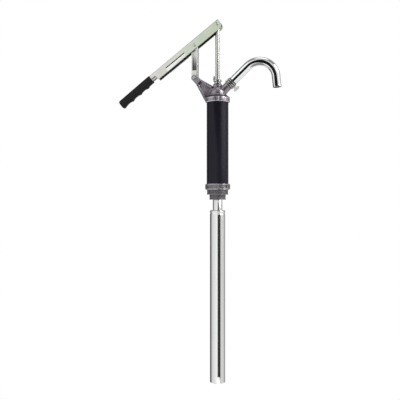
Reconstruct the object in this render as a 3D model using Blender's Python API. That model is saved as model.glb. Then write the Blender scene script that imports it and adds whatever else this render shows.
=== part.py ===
"""Lever-action drum barrel pump, one object per physical piece.

World frame: metres, +Z up. The origin is on the pump's axis, in the plane where the
bung adapter's flange sits on the drum head. The lever mechanism works in the XZ plane:
-X is the handle and fulcrum side, +X the spout side. The pump is modelled with the rod
fully raised, the handle down, the spout swung straight out and the suction tube closed.
All driving dimensions below are in millimetres.
"""

import math

import bmesh
import bpy
from mathutils import Matrix, Vector

MM = 0.001
GAP = 0.3  # running and seating clearance between neighbouring pieces
ROUNDNESS = 0.66  # share of the nominal number of sides that a turned shape gets

# ---- barrel -------------------------------------------------------------------------
TUBE_R = 30.15  # 2 inch nominal pipe size
TUBE_WALL = 1.6
TUBE_Z0, TUBE_Z1 = 6.0, 253.2
# ---- bung adapter (bottom cap) ------------------------------------------------------
FLANGE_R = 33.0
FLANGE_TOP = 16.4
THREAD2_R, THREAD2_Z = 29.8, -13.3  # 2 inch bung thread
THREAD15_R, THREAD15_Z = 23.0, -27.4  # 1 1/2 inch boss below it
LUG_AZIMUTHS = (24.0, 76.0, 204.0, 256.0)  # wrench lugs, opposed pairs
# ---- suction tubes ------------------------------------------------------------------
INNER_R, INNER_WALL = 13.35, 1.6  # 3/4 inch nominal
INNER_Z0, INNER_Z1 = -498.0, -9.4
OUTER_R, OUTER_WALL = 21.1, 1.5  # 1 1/4 inch nominal
OUTER_Z0, OUTER_Z1 = -532.0, -56.4
SUCTION_EXTENSION = 400.0
# ---- head ---------------------------------------------------------------------------
RIM_R, RIM_Z0, RIM_Z1 = 33.9, 241.5, 257.0
DOME_R, DOME_Z = 23.5, 263.5
CAVITY_R = 19.8
# ---- outlet and spout ---------------------------------------------------------------
OUT_ANGLE = 43.5  # outlet axis above horizontal
OUT_ORIGIN = (0.0, 0.0, 258.5)
BOSS_R, BOSS_END = 12.0, 42.2
SOCKET_R, SOCKET_END = 14.9, 60.4
SPOUT_R, SPOUT_WALL, SPOUT_BEND_R = 11.7, 1.5, 46.6
SPOUT_START = 47.4
SPOUT_APEX = (115.86, 350.8)
SPOUT_END_Z = 278.3
SPOUT_TAIL = -84.0  # heading of the spout's end, just short of straight down
SPOUT_SWIVEL = 90.0
# ---- lever mechanism ----------------------------------------------------------------
PIN_R = (0.0, 458.0)  # rod pin, x and z
PIN_L = (-64.0, 402.0)  # link's upper pivot
PIN_F = (-64.0, 311.0)  # fulcrum pin
ROD_R = 6.35
HANDLE_ANGLE = 37.2  # below horizontal, towards -X
CHANNEL_HALF, CHANNEL_TOP, CHANNEL_BOTTOM, CHANNEL_T = 12.0, 9.0, -16.2, 2.5
CHANNEL_S0, CHANNEL_S1 = -9.5, 237.6
GRIP_S0, GRIP_S1 = 238.6, 353.6
LINK_R, LINK_HALF = 8.8, 8.0
LINK_TOP_R = 6.4  # the upper end is narrower: it swings close under the channel's web
PIN_DIA_R, PIN_HOLE_R = 3.15, 3.45


# =====================================================================================
# scene and small helpers
# =====================================================================================
for old in list(bpy.data.objects):
    bpy.data.objects.remove(old, do_unlink=True)


def material(name, color, roughness, metallic):
    m = bpy.data.materials.get(name)
    if m:
        return m
    m = bpy.data.materials.new(name)
    m.use_nodes = True
    b = m.node_tree.nodes["Principled BSDF"]
    b.inputs["Base Color"].default_value = (*color, 1)
    b.inputs["Roughness"].default_value = roughness
    b.inputs["Metallic"].default_value = metallic
    m.diffuse_color = (*color, 1)
    return m


CAST = ((0.17, 0.155, 0.165), 0.5, 0.85)
ZINC = ((0.62, 0.64, 0.58), 0.34, 1.0)
STEEL = ((0.55, 0.55, 0.56), 0.3, 1.0)
CHROME = ((0.86, 0.87, 0.88), 0.06, 1.0)
BLACK_PAINT = ((0.018, 0.017, 0.024), 0.35, 0.0)
VINYL = ((0.012, 0.012, 0.013), 0.55, 0.0)
RUBBER = ((0.02, 0.02, 0.02), 0.7, 0.0)
BRASS = ((0.6, 0.42, 0.16), 0.35, 1.0)
ALU = ((0.6, 0.6, 0.6), 0.45, 1.0)


def finish(name, bm, look, origin=(0.0, 0.0, 0.0), cutter=False, angle=32.0):
    """Makes the object from millimetre geometry in world place, with its origin at origin."""
    bmesh.ops.remove_doubles(bm, verts=bm.verts, dist=1e-4)
    bmesh.ops.recalc_face_normals(bm, faces=bm.faces)
    bm.transform(Matrix.Scale(MM, 4) @ Matrix.Translation(-Vector(origin)))
    mesh = bpy.data.meshes.new(name)
    bm.to_mesh(mesh)
    bm.free()
    mesh.shade_smooth()
    mesh.set_sharp_from_angle(angle=math.radians(angle))
    obj = bpy.data.objects.new(name, mesh)
    obj.location = Vector(origin) * MM
    bpy.context.scene.collection.objects.link(obj)
    if cutter:
        obj.hide_render = True
        obj.display_type = "WIRE"
    else:
        mesh.materials.append(material(name, *look))
    return obj


def boolean(obj, other, operation):
    m = obj.modifiers.new(f"{operation.lower()}_{other.name}", "BOOLEAN")
    m.object = other
    m.operation = operation
    m.solver = "EXACT"
    other.hide_render = True
    other.display_type = "WIRE"


def turned(chain, segments=48, matrix=None, bm=None):
    """A solid of revolution about Z from a chain of (radius, z): closed, or ending on the axis."""
    bm = bm or bmesh.new()
    segments = max(12, 4 * round(segments * ROUNDNESS / 4))
    verts = [bm.verts.new((r, 0.0, z)) for r, z in chain]
    edges = [bm.edges.new((a, b)) for a, b in zip(verts, verts[1:])]
    if not (chain[0][0] == 0 and chain[-1][0] == 0):
        edges.append(bm.edges.new((verts[-1], verts[0])))
    bmesh.ops.spin(
        bm,
        geom=verts + edges,
        cent=(0, 0, 0),
        axis=(0, 0, 1),
        dvec=(0, 0, 0),
        angle=2 * math.pi,
        steps=segments,
        use_merge=True,
    )
    bmesh.ops.remove_doubles(bm, verts=bm.verts, dist=1e-4)
    if matrix is not None:
        bm.transform(matrix)
    return bm


def prism(points, depth0, depth1, matrix=None):
    """A closed polygon of (u, v) extruded along the third axis: u is X, v is Z, depth is Y."""
    bm = bmesh.new()
    face = bm.faces.new([bm.verts.new((u, depth0, v)) for u, v in points])
    made = bmesh.ops.extrude_face_region(bm, geom=[face])
    moved = [g for g in made["geom"] if isinstance(g, bmesh.types.BMVert)]
    bmesh.ops.translate(bm, verts=moved, vec=(0, depth1 - depth0, 0))
    if matrix is not None:
        bm.transform(matrix)
    return bm


def block(lo, hi, matrix=None):
    return prism(
        [(lo[0], lo[2]), (hi[0], lo[2]), (hi[0], hi[2]), (lo[0], hi[2])],
        lo[1],
        hi[1],
        matrix,
    )


def arc(cx, cy, r, a0, a1, steps):
    """Points on a circle from angle a0 to a1, in degrees."""
    return [
        (
            cx + r * math.cos(math.radians(a0 + (a1 - a0) * k / steps)),
            cy + r * math.sin(math.radians(a0 + (a1 - a0) * k / steps)),
        )
        for k in range(steps + 1)
    ]


def hull(points):
    """Convex outline, counter-clockwise."""
    pts = sorted(set((round(x, 6), round(y, 6)) for x, y in points))

    def half(seq):
        out = []
        for p in seq:
            while len(out) > 1 and (out[-1][0] - out[-2][0]) * (p[1] - out[-2][1]) - (
                out[-1][1] - out[-2][1]
            ) * (p[0] - out[-2][0]) <= 0:
                out.pop()
            out.append(p)
        return out[:-1]

    return half(pts) + half(pts[::-1])


def hexagon(across_flats, turn=0.0):
    r = across_flats / math.sqrt(3)
    return [
        (r * math.cos(math.radians(60 * k + turn)), r * math.sin(math.radians(60 * k + turn)))
        for k in range(6)
    ]


UPRIGHT = Matrix.Rotation(math.radians(90), 4, "X")  # prism depth (Y) becomes Z


def plate(points, z0, z1):
    """A polygon of (x, y) extruded along Z."""
    bm = bmesh.new()
    face = bm.faces.new([bm.verts.new((x, y, z0)) for x, y in points])
    made = bmesh.ops.extrude_face_region(bm, geom=[face])
    moved = [g for g in made["geom"] if isinstance(g, bmesh.types.BMVert)]
    bmesh.ops.translate(bm, verts=moved, vec=(0, 0, z1 - z0))
    return bm


# frames ------------------------------------------------------------------------------
OUT = math.radians(OUT_ANGLE)
OUT_DIR = Vector((math.cos(OUT), 0, math.sin(OUT)))
OUT_MATRIX = Matrix.Translation(Vector(OUT_ORIGIN)) @ Matrix.Rotation(
    math.radians(90) - OUT, 4, "Y"
)  # local Z runs out along the outlet

HA = math.radians(HANDLE_ANGLE)
H_DIR = Vector((-math.cos(HA), 0, -math.sin(HA)))  # from the rod pin towards the grip
H_UP = Vector((-math.sin(HA), 0, math.cos(HA)))  # towards the channel's web


def handle_matrix():
    """Local X is s (along the handle), local Y is world Y, local Z is t (towards the web)."""
    m = Matrix.Identity(4)
    for i in range(3):
        m[i][0] = H_DIR[i]
        m[i][1] = (0, 1, 0)[i]
        m[i][2] = H_UP[i]
    return Matrix.Translation(Vector((PIN_R[0], 0, PIN_R[1]))) @ m


HM = handle_matrix()


def along_y(x, z):
    """Turned shapes whose axis is Y through (x, z): local Z becomes world Y."""
    return Matrix.Translation(Vector((x, 0, z))) @ Matrix.Rotation(math.radians(-90), 4, "X")


def st(s, t):
    """World x, z of a point in the handle's own frame."""
    p = HM @ Vector((s, 0, t))
    return p.x, p.z


# =====================================================================================
# barrel and bung adapter
# =====================================================================================
ri = TUBE_R - TUBE_WALL
finish(
    "cylinder_tube",
    turned([(ri, TUBE_Z0), (TUBE_R, TUBE_Z0), (TUBE_R, TUBE_Z1), (ri, TUBE_Z1)], 64),
    BLACK_PAINT,
)

bottom_cap = finish(
    "bottom_cap",
    turned(
        [
            (TUBE_R + GAP, FLANGE_TOP),
            (32.0, FLANGE_TOP),
            (FLANGE_R, 15.6),
            (FLANGE_R, 13.4),
            (31.8, 12.7),
            (31.8, 6.2),
            (FLANGE_R, 5.5),
            (FLANGE_R, 0.8),
            (32.4, 0.0),
            (THREAD2_R + 0.3, 0.0),
            (THREAD2_R, -0.6),
            (THREAD2_R, -12.0),
            (THREAD2_R - 1.3, THREAD2_Z),
            (THREAD15_R, THREAD2_Z),
            (THREAD15_R, -26.2),
            (THREAD15_R - 1.2, THREAD15_Z),
            (INNER_R + GAP, THREAD15_Z),
            (INNER_R + GAP, -9.0),
            (9.0, -9.0),
            (9.0, -2.0),
            (17.0, -2.0),
            (17.0, 3.7),
            (TUBE_R + GAP, 3.7),
        ],
        56,
    ),
    CAST,
)
for k, azimuth in enumerate(LUG_AZIMUTHS):
    # azimuth 0 faces -Y and grows towards +X
    turn = Matrix.Rotation(math.radians(azimuth), 4, "Z")
    lug = finish(
        f"helper_lug_{k}", block((-8.4, -34.9, 0.9), (8.4, -31.2, 15.4), turn), CAST, cutter=True
    )
    boolean(bottom_cap, lug, "UNION")

finish(
    "bottom_gasket",
    turned([(27.2, 4.0), (TUBE_R, 4.0), (TUBE_R, 5.7), (27.2, 5.7)], 40),
    RUBBER,
)
finish(
    "head_gasket",
    turned([(27.8, 253.5), (TUBE_R, 253.5), (TUBE_R, 255.0), (27.8, 255.0)], 40),
    RUBBER,
)

# =====================================================================================
# foot valve
# =====================================================================================
finish(
    "foot_valve_seat",
    turned([(9.2, -1.7), (16.7, -1.7), (16.7, 1.3), (10.4, 1.3), (9.2, 0.6)], 32),
    BRASS,
)
FOOT_DISC_Z = 1.6
finish(
    "foot_valve_disc",
    turned([(0, FOOT_DISC_Z), (13.2, FOOT_DISC_Z), (13.2, 4.0), (3.0, 4.0), (3.0, 6.2), (0, 6.6)], 28),
    BRASS,
    origin=(0, 0, FOOT_DISC_Z),
)
cage = finish(
    "foot_valve_cage",
    turned([(17.4, 4.0), (19.4, 4.0), (19.4, 15.6), (3.6, 15.6), (3.6, 13.8), (17.4, 13.8)], 32),
    STEEL,
)
for k in range(4):
    window = finish(
        f"helper_cage_window_{k}",
        block((10.0, -6.5, 6.2), (24.0, 6.5, 12.2), Matrix.Rotation(math.radians(45 + 90 * k), 4, "Z")),
        STEEL,
        cutter=True,
    )
    boolean(cage, window, "DIFFERENCE")
    port = finish(
        f"helper_cage_port_{k}",
        turned([(0, 12.0), (4.2, 12.0), (4.2, 18.0), (0, 18.0)], 16, Matrix.Rotation(math.radians(90 * k), 4, "Z") @ Matrix.Translation((10.4, 0, 0))),
        STEEL,
        cutter=True,
    )
    boolean(cage, port, "DIFFERENCE")

# =====================================================================================
# suction tubes
# =====================================================================================
ii = INNER_R - INNER_WALL
finish(
    "inner_suction_tube",
    turned([(ii, INNER_Z0), (INNER_R, INNER_Z0), (INNER_R, INNER_Z1), (ii, INNER_Z1)], 36),
    ZINC,
)
oi = OUTER_R - OUTER_WALL
finish(
    "suction_stop_collar",
    turned(
        [
            (INNER_R + GAP, -496.0),
            (18.2, -496.0),
            (oi - GAP, -494.5),
            (oi - GAP, -484.0),
            (INNER_R + GAP, -484.0),
        ],
        36,
    ),
    BRASS,
)
outer_tube = finish(
    "outer_suction_tube",
    turned(
        [
            (INNER_R + 0.4, OUTER_Z1),
            (18.6, OUTER_Z1),
            (20.6, -57.2),
            (21.4, -59.0),
            (21.4, -61.0),
            (20.5, -62.6),
            (20.1, -64.0),
            (20.5, -65.4),
            (OUTER_R, -67.0),
            (OUTER_R, OUTER_Z0),
            (oi, OUTER_Z0),
            (oi, -67.0),
            (18.9, -64.0),
            (18.9, -60.0),
            (INNER_R + 0.4, -58.4),
        ],
        48,
    ),
    ZINC,
    origin=(0, 0, OUTER_Z0),
)
notch = finish(
    "helper_foot_notch",
    prism(
        [(-5.3, OUTER_Z0 - 5), (5.3, OUTER_Z0 - 5)] + arc(0, OUTER_Z0 + 13.2, 5.3, 0, 180, 8),
        -30,
        30,
        Matrix.Rotation(math.radians(18), 4, "Z"),
    ),
    ZINC,
    cutter=True,
)
boolean(outer_tube, notch, "DIFFERENCE")
finish(
    "suction_wiper_seal",
    turned(
        [(INNER_R + GAP, -72.4), (oi - GAP, -72.4), (oi - GAP, -67.6), (INNER_R + GAP, -67.6)],
        36,
    ),
    RUBBER,
    origin=(0, 0, -70),
)

# =====================================================================================
# head casting
# =====================================================================================
dome = [
    (DOME_R * math.cos(a), DOME_Z + DOME_R * math.sin(a))
    for a in [math.radians(58.0 * k / 7) for k in range(8)]
]
head = finish(
    "head_casting",
    turned(
        [
            (0, RIM_Z0),
            (32.7, RIM_Z0),
            (33.5, 243.0),
            (RIM_R, 246.0),
            (RIM_R, 252.4),
            (33.3, 255.4),
            (32.0, RIM_Z1),
            (27.6, 257.4),
            (26.8, 258.8),
            (26.2, 261.6),
            (24.2, 262.6),
        ]
        + dome
        + [(13.2, 285.4), (13.2, 288.6), (12.4, 289.6), (0, 289.6)],
        56,
    ),
    CAST,
)

arm_web = prism(
    [
        (-57.0, 310.5),
        (-52.0, 309.0),
        (-15.0, 288.4),
        (-12.4, 285.4),
        (-16.4, 277.6),
        (-19.6, 272.4),
        (-21.4, 267.0),
        (-21.6, 262.0),
        (-24.8, 258.0),
        (-31.6, 252.0),
        (-31.8, 246.5),
        (-34.8, 249.0),
        (-60.0, 299.0),
    ],
    -3.0,
    3.0,
)
rib_top = prism([(-53.0, 304.8), (-51.0, 309.8), (-15.4, 288.9), (-12.4, 286.0), (-16.5, 281.6)], -6.2, 6.2)
rib_low = prism([(-64.0, 301.0), (-35.2, 247.0), (-31.8, 245.5), (-31.9, 252.8), (-55.0, 300.8)], -6.2, 6.2)
hub = prism(
    hull(arc(PIN_F[0], PIN_F[1], 8.8, 0, 345, 23) + [(-47.0, 307.6), (-45.6, 303.8), (-56.6, 289.6)]),
    -12.0,
    12.0,
)
for k, shape in enumerate((arm_web, rib_top, rib_low, hub)):
    boolean(head, finish(f"helper_arm_{k}", shape, CAST, cutter=True), "UNION")
boolean(
    head,
    finish("helper_boss", turned([(0, 16.0), (BOSS_R, 16.0), (BOSS_R, 39.8), (BOSS_R + 0.9, 40.7), (BOSS_R + 0.9, BOSS_END), (0, BOSS_END)], 32, OUT_MATRIX), CAST, cutter=True),
    "UNION",
)
boolean(
    head,
    finish("helper_parting_lug", block((-2.2, -35.4, 243.2), (2.2, -32.0, 255.4), Matrix.Rotation(math.radians(13), 4, "Z")), CAST, cutter=True),
    "UNION",
)
# hollow inside: barrel socket, gasket seat, dome chamber and the gland boss hanging in it
cavity_arc = [
    (CAVITY_R * math.cos(a), DOME_Z + CAVITY_R * math.sin(a))
    for a in [math.radians(56.2 * k / 5) for k in range(6)]
]
boolean(
    head,
    finish(
        "helper_cavity",
        turned(
            [(0, 238.0), (TUBE_R + GAP, 238.0), (TUBE_R + GAP, 255.3), (27.6, 255.3), (CAVITY_R, 258.5)]
            + cavity_arc
            + [(11.0, 275.0), (0, 275.0)],
            40,
        ),
        CAST,
        cutter=True,
    ),
    "DIFFERENCE",
)
boolean(
    head,
    finish(
        "helper_gland_bore",
        turned([(0, 272.0), (ROD_R + GAP, 272.0), (ROD_R + GAP, 278.0), (8.6, 278.0), (8.6, 293.0), (0, 293.0)], 32),
        CAST,
        cutter=True,
    ),
    "DIFFERENCE",
)
boolean(
    head,
    finish(
        "helper_outlet_bore",
        turned([(0, 18.5), (6.5, 18.5), (6.5, 37.0), (9.5, 37.0), (9.5, 46.0), (0, 46.0)], 28, OUT_MATRIX),
        CAST,
        cutter=True,
    ),
    "DIFFERENCE",
)
boolean(
    head,
    finish(
        "helper_clevis_slot",
        prism(
            arc(PIN_F[0], PIN_F[1], 10.2, -100, 60, 14) + [(-58.0, 332.0), (-90.0, 332.0), (-90.0, 296.0)],
            -(LINK_HALF + 0.4),
            LINK_HALF + 0.4,
        ),
        CAST,
        cutter=True,
    ),
    "DIFFERENCE",
)
boolean(
    head,
    finish("helper_fulcrum_bore", turned([(0, -20), (PIN_HOLE_R, -20), (PIN_HOLE_R, 20), (0, 20)], 20, along_y(*PIN_F)), CAST, cutter=True),
    "DIFFERENCE",
)

# gland -------------------------------------------------------------------------------
finish(
    "gland_packing",
    turned([(ROD_R + GAP, 278.3), (8.3, 278.3), (8.3, 281.9), (ROD_R + GAP, 281.9)], 28),
    RUBBER,
)
gland = finish(
    "gland_nut",
    turned(
        [
            (ROD_R + GAP, 282.2),
            (8.3, 282.2),
            (8.3, 290.0),
            (9.9, 290.0),
            (9.9, 293.4),
            (9.0, 294.2),
            (8.8, 297.6),
            (10.4, 298.8),
            (11.6, 299.6),
            (11.6, 302.6),
            (10.8, 303.4),
            (ROD_R + GAP, 303.4),
        ],
        32,
    ),
    ZINC,
)
boolean(gland, finish("helper_gland_hex", plate(hexagon(20.4, 13.0), 290.1, 293.6), ZINC, cutter=True), "UNION")
boolean(
    gland,
    finish("helper_gland_core", turned([(0, 280), (ROD_R + GAP, 280), (ROD_R + GAP, 310), (0, 310)], 32), ZINC, cutter=True),
    "DIFFERENCE",
)
tab = finish(
    "gland_tab_washer",
    turned([(ROD_R + 0.4, 303.7), (10.4, 303.7), (10.4, 304.9), (ROD_R + 0.4, 304.9)], 32),
    ZINC,
)
boolean(
    tab,
    finish(
        "helper_tab",
        prism([(-12.3, 303.8), (-7.2, 303.8), (-7.2, 314.6), (-8.2, 316.0), (-11.3, 316.0), (-12.3, 314.6)], -0.9, 0.9),
        ZINC,
        cutter=True,
    ),
    "UNION",
)

# =====================================================================================
# rod and piston (at the top of the stroke)
# =====================================================================================
rod = finish(
    "piston_rod",
    turned(
        [(0, 206.0), (3.4, 206.0), (4.0, 206.6), (4.0, 236.3), (ROD_R, 236.3), (ROD_R, 454.0), (5.4, 458.0), (0, 459.0)],
        32,
    ),
    ZINC,
    origin=(0, 0, PIN_R[1]),
)
boolean(
    rod,
    finish("helper_rod_eye", turned([(0, -9.2), (5.6, -9.2), (6.1, -8.7), (6.1, 8.7), (5.6, 9.2), (0, 9.2)], 24, along_y(*PIN_R)), ZINC, cutter=True),
    "UNION",
)
boolean(
    rod,
    finish("helper_rod_bore", turned([(0, -20), (PIN_HOLE_R, -20), (PIN_HOLE_R, 20), (0, 20)], 20, along_y(*PIN_R)), ZINC, cutter=True),
    "DIFFERENCE",
)
valve_stop = finish(
    "valve_stop_ring",
    turned([(ROD_R + GAP, 243.9), (9.6, 243.9), (9.6, 246.2), (ROD_R + GAP, 246.2)], 24),
    STEEL,
)
PORT_CIRCLE, PORT_R = 12.4, 3.1
piston = finish(
    "piston_body",
    turned([(4.3, 218.3), (18.7, 218.3), (18.7, 221.9), (25.4, 221.9), (25.4, 235.2), (24.6, 236.0), (4.3, 236.0)], 40),
    ALU,
)
retainer = finish(
    "cup_retainer_plate",
    turned([(4.3, 215.0), (25.6, 215.0), (25.6, 218.0), (4.3, 218.0)], 40),
    STEEL,
)
for k in range(6):
    turn = Matrix.Rotation(math.radians(60 * k), 4, "Z") @ Matrix.Translation((PORT_CIRCLE, 0, 0))
    port = finish(f"helper_piston_port_{k}", turned([(0, 210), (PORT_R, 210), (PORT_R, 240), (0, 240)], 12, turn), ALU, cutter=True)
    boolean(piston, port, "DIFFERENCE")
    boolean(retainer, port, "DIFFERENCE")
finish(
    "piston_cup",
    turned(
        [(19.0, 218.6), (26.6, 218.6), (28.25, 220.2), (28.25, 232.0), (27.2, 232.0), (25.7, 224.0), (25.7, 221.6), (19.0, 221.6)],
        40,
    ),
    RUBBER,
)
finish(
    "piston_valve_disc",
    turned([(ROD_R + 0.5, 236.3), (17.2, 236.3), (17.2, 238.6), (ROD_R + 0.5, 238.6)], 32),
    BRASS,
    origin=(0, 0, 236.3),
)
nut = finish("piston_nut", plate(hexagon(13.0), 208.0, 214.7), STEEL)
boolean(nut, finish("helper_nut_bore", turned([(0, 200), (4.3, 200), (4.3, 216), (0, 216)], 20), STEEL, cutter=True), "DIFFERENCE")

# =====================================================================================
# handle: formed channel, riveted to the rod and the link
# =====================================================================================


def channel_section(half, top, bottom, t, outer_r):
    """U section open at the bottom, as (y, t) points."""
    inner_r = max(outer_r - t, 0.6)
    left = arc(-half + outer_r, top - outer_r, outer_r, 180, 90, 4)
    right = arc(half - outer_r, top - outer_r, outer_r, 90, 0, 4)
    inner_right = arc(half - t - inner_r, top - t - inner_r, inner_r, 0, 90, 3)
    inner_left = arc(-half + t + inner_r, top - t - inner_r, inner_r, 90, 180, 3)
    return (
        [(-half, bottom)]
        + left
        + right
        + [(half, bottom), (half - t, bottom)]
        + inner_right
        + inner_left
        + [(-half + t, bottom)]
    )


def along_handle(section, s0, s1):
    """(y, t) outline extruded along the handle from s0 to s1."""
    bm = bmesh.new()
    face = bm.faces.new([bm.verts.new((s0, y, t)) for y, t in section])
    made = bmesh.ops.extrude_face_region(bm, geom=[face])
    moved = [g for g in made["geom"] if isinstance(g, bmesh.types.BMVert)]
    bmesh.ops.translate(bm, verts=moved, vec=(s1 - s0, 0, 0))
    bm.transform(HM)
    return bm


pin_r_world = (PIN_R[0], 0, PIN_R[1])
handle = finish(
    "handle_channel",
    along_handle(channel_section(CHANNEL_HALF, CHANNEL_TOP, CHANNEL_BOTTOM, CHANNEL_T, 4.2), CHANNEL_S0, CHANNEL_S1),
    ZINC,
    origin=pin_r_world,
)
# tip corner, cut round
boolean(
    handle,
    finish(
        "helper_tip_corner",
        prism([(-20, -30), (-20, -2.2)] + [(-9.6, -2.2)] + arc(4.5, -2.2, 14.0, 180, 270, 8)[1:] + [(4.5, -30)], -20, 20, HM),
        ZINC,
        cutter=True,
    ),
    "DIFFERENCE",
)
# flanges cut back before the grip
boolean(
    handle,
    finish(
        "helper_grip_notch",
        prism([(222.5, -30), (222.5, -4.0), (224.5, -2.2), (242, -2.2), (242, -30)], -20, 20, HM),
        ZINC,
        cutter=True,
    ),
    "DIFFERENCE",
)
# lanced stiffener on both flanges: a raised pad below a slit
for side in (-1, 1):
    y0, y1 = sorted((side * (CHANNEL_HALF - 1.2), side * (CHANNEL_HALF + 1.5)))
    pad = prism([(118.0, -16.8), (118.0, -7.8), (120.0, -6.8), (186.0, -6.8), (188.0, -8.0), (188.0, -16.8)], y0, y1, HM)
    boolean(handle, finish(f"helper_pad_{side + 1}", pad, ZINC, cutter=True), "UNION")
    y0, y1 = sorted((side * (CHANNEL_HALF - 5), side * (CHANNEL_HALF + 5)))
    slit = prism([(119.5, -6.8), (119.5, -4.4), (186.5, -4.4), (186.5, -6.8)], y0, y1, HM)
    boolean(handle, finish(f"helper_slit_{side + 1}", slit, ZINC, cutter=True), "DIFFERENCE")
# tang inside the grip
boolean(
    handle,
    finish("helper_tang", along_handle(channel_section(6.6, 7.6, -7.4, 2.5, 3.0), 223.5, 344.0), ZINC, cutter=True),
    "UNION",
)
for name, (x, z) in (("rod", PIN_R), ("link", PIN_L)):
    boolean(
        handle,
        finish(f"helper_handle_bore_{name}", turned([(0, -20), (PIN_HOLE_R, -20), (PIN_HOLE_R, 20), (0, 20)], 20, along_y(x, z)), ZINC, cutter=True),
        "DIFFERENCE",
    )


# grip --------------------------------------------------------------------------------
def grip_bottom(s):
    """Underside of the grip with four finger scallops."""
    along = (s - GRIP_S0) / (GRIP_S1 - GRIP_S0)
    crests = (262.5, 289.5, 318.5)
    bump = max(math.exp(-(((s - c) / 5.4) ** 2)) for c in crests)
    end = math.exp(-(((s - 351.0) / 8.5) ** 2))
    return -11.6 - 1.4 * along * along - 2.9 * bump - 2.7 * end


def grip_ring(s, sides=16):
    top = 12.2 - 1.8 * (s - GRIP_S0) / (GRIP_S1 - GRIP_S0)
    low = grip_bottom(s)
    near0 = min(1.0, 0.86 + 0.14 * (s - GRIP_S0) / 2.5)
    near1 = min(1.0, 0.80 + 0.20 * (GRIP_S1 - s) / 4.0)
    k = min(near0, near1)
    mid, half_t, half_y = (top + low) / 2, (top - low) / 2 * k, 12.2 * k
    ring = []
    for i in range(sides):
        a = 2 * math.pi * i / sides
        c, sn = math.cos(a), math.sin(a)
        e = 0.82  # slightly squared oval
        ring.append(
            (
                s,
                half_y * math.copysign(abs(c) ** e, c),
                mid + half_t * math.copysign(abs(sn) ** e, sn),
            )
        )
    return ring


stations = [GRIP_S0, GRIP_S0 + 1.2, GRIP_S0 + 2.6]
s = GRIP_S0 + 7.0
while s < GRIP_S1 - 6.0:
    stations.append(s)
    s += 5.6
stations += [GRIP_S1 - 4.0, GRIP_S1 - 1.8, GRIP_S1]
bm = bmesh.new()
rings = [[bm.verts.new(p) for p in grip_ring(s)] for s in stations]
for a, b in zip(rings, rings[1:]):
    for i in range(len(a)):
        j = (i + 1) % len(a)
        bm.faces.new((a[i], a[j], b[j], b[i]))
bm.faces.new(rings[0])
bm.faces.new(rings[-1])
bm.transform(HM)
grip = finish("handle_grip", bm, VINYL, origin=pin_r_world, angle=50)
boolean(
    grip,
    finish(
        "helper_grip_socket",
        prism([(GRIP_S0 - 5, -7.7), (GRIP_S0 - 5, 7.9), (344.4, 7.9), (344.4, -7.7)], -6.9, 6.9, HM),
        VINYL,
        cutter=True,
    ),
    "DIFFERENCE",
)

# pins and rivets ---------------------------------------------------------------------
finish(
    "handle_pin",
    turned(
        [(0, -14.0), (1.3, -14.0), (1.3, -13.0), (2.0, -13.0), (2.2, -14.2), (4.6, -14.2), (5.0, -13.6), (5.0, -12.3), (PIN_DIA_R, -12.3), (PIN_DIA_R, 15.0), (2.6, 15.5), (0, 15.5)],
        20,
        along_y(*PIN_R),
    ),
    STEEL,
    origin=pin_r_world,
)
finish(
    "handle_pin_clip",
    turned([(PIN_DIA_R + GAP, 12.4), (6.0, 12.4), (6.0, 13.5), (PIN_DIA_R + GAP, 13.5)], 20, along_y(*PIN_R)),
    STEEL,
    origin=pin_r_world,
)
for name, sign in (("link_rivet_front", -1), ("link_rivet_back", 1)):
    chain = [(0, 8.7), (PIN_DIA_R, 8.7), (PIN_DIA_R, 12.3), (4.7, 12.3), (4.5, 13.2), (3.2, 13.8), (0, 13.8)]
    finish(name, turned([(r, sign * z) for r, z in chain], 20, along_y(*PIN_L)), STEEL, origin=(PIN_L[0], 0, PIN_L[1]))

# link --------------------------------------------------------------------------------
link = finish(
    "fulcrum_link",
    prism(
        hull(
            arc(PIN_L[0], PIN_L[1], LINK_TOP_R, 0, 350, 24)
            + [(PIN_L[0] - LINK_R, 396.5), (PIN_L[0] + LINK_R, 396.5)]
            + arc(PIN_F[0], PIN_F[1], LINK_R, 0, 350, 24)
        ),
        -LINK_HALF,
        LINK_HALF,
    ),
    ZINC,
    origin=(PIN_F[0], 0, PIN_F[1]),
)
for side in (-1, 1):
    y0, y1 = sorted((side * 3.0, side * 12.0))
    recess = prism(
        [(PIN_F[0] - 4.7, 333.5), (PIN_F[0] - 3.2, 332.0), (PIN_F[0] + 3.2, 332.0), (PIN_F[0] + 4.7, 333.5), (PIN_F[0] + 4.7, 390.0), (PIN_F[0] - 4.7, 390.0)],
        y0,
        y1,
    )
    boolean(link, finish(f"helper_link_recess_{side + 1}", recess, ZINC, cutter=True), "DIFFERENCE")
for name, (x, z) in (("lower", PIN_F), ("upper", PIN_L)):
    boolean(
        link,
        finish(f"helper_link_bore_{name}", turned([(0, -20), (PIN_HOLE_R, -20), (PIN_HOLE_R, 20), (0, 20)], 20, along_y(x, z)), ZINC, cutter=True),
        "DIFFERENCE",
    )
finish(
    "fulcrum_pin",
    turned(
        [(0, -14.4), (3.6, -14.2), (5.0, -13.4), (5.0, -12.3), (PIN_DIA_R, -12.3), (PIN_DIA_R, 15.0), (2.6, 15.5), (0, 15.5)],
        20,
        along_y(*PIN_F),
    ),
    STEEL,
    origin=(PIN_F[0], 0, PIN_F[1]),
)
finish(
    "fulcrum_pin_clip",
    turned([(PIN_DIA_R + GAP, 12.4), (6.0, 12.4), (6.0, 13.5), (PIN_DIA_R + GAP, 13.5)], 20, along_y(*PIN_F)),
    STEEL,
    origin=(PIN_F[0], 0, PIN_F[1]),
)

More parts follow.
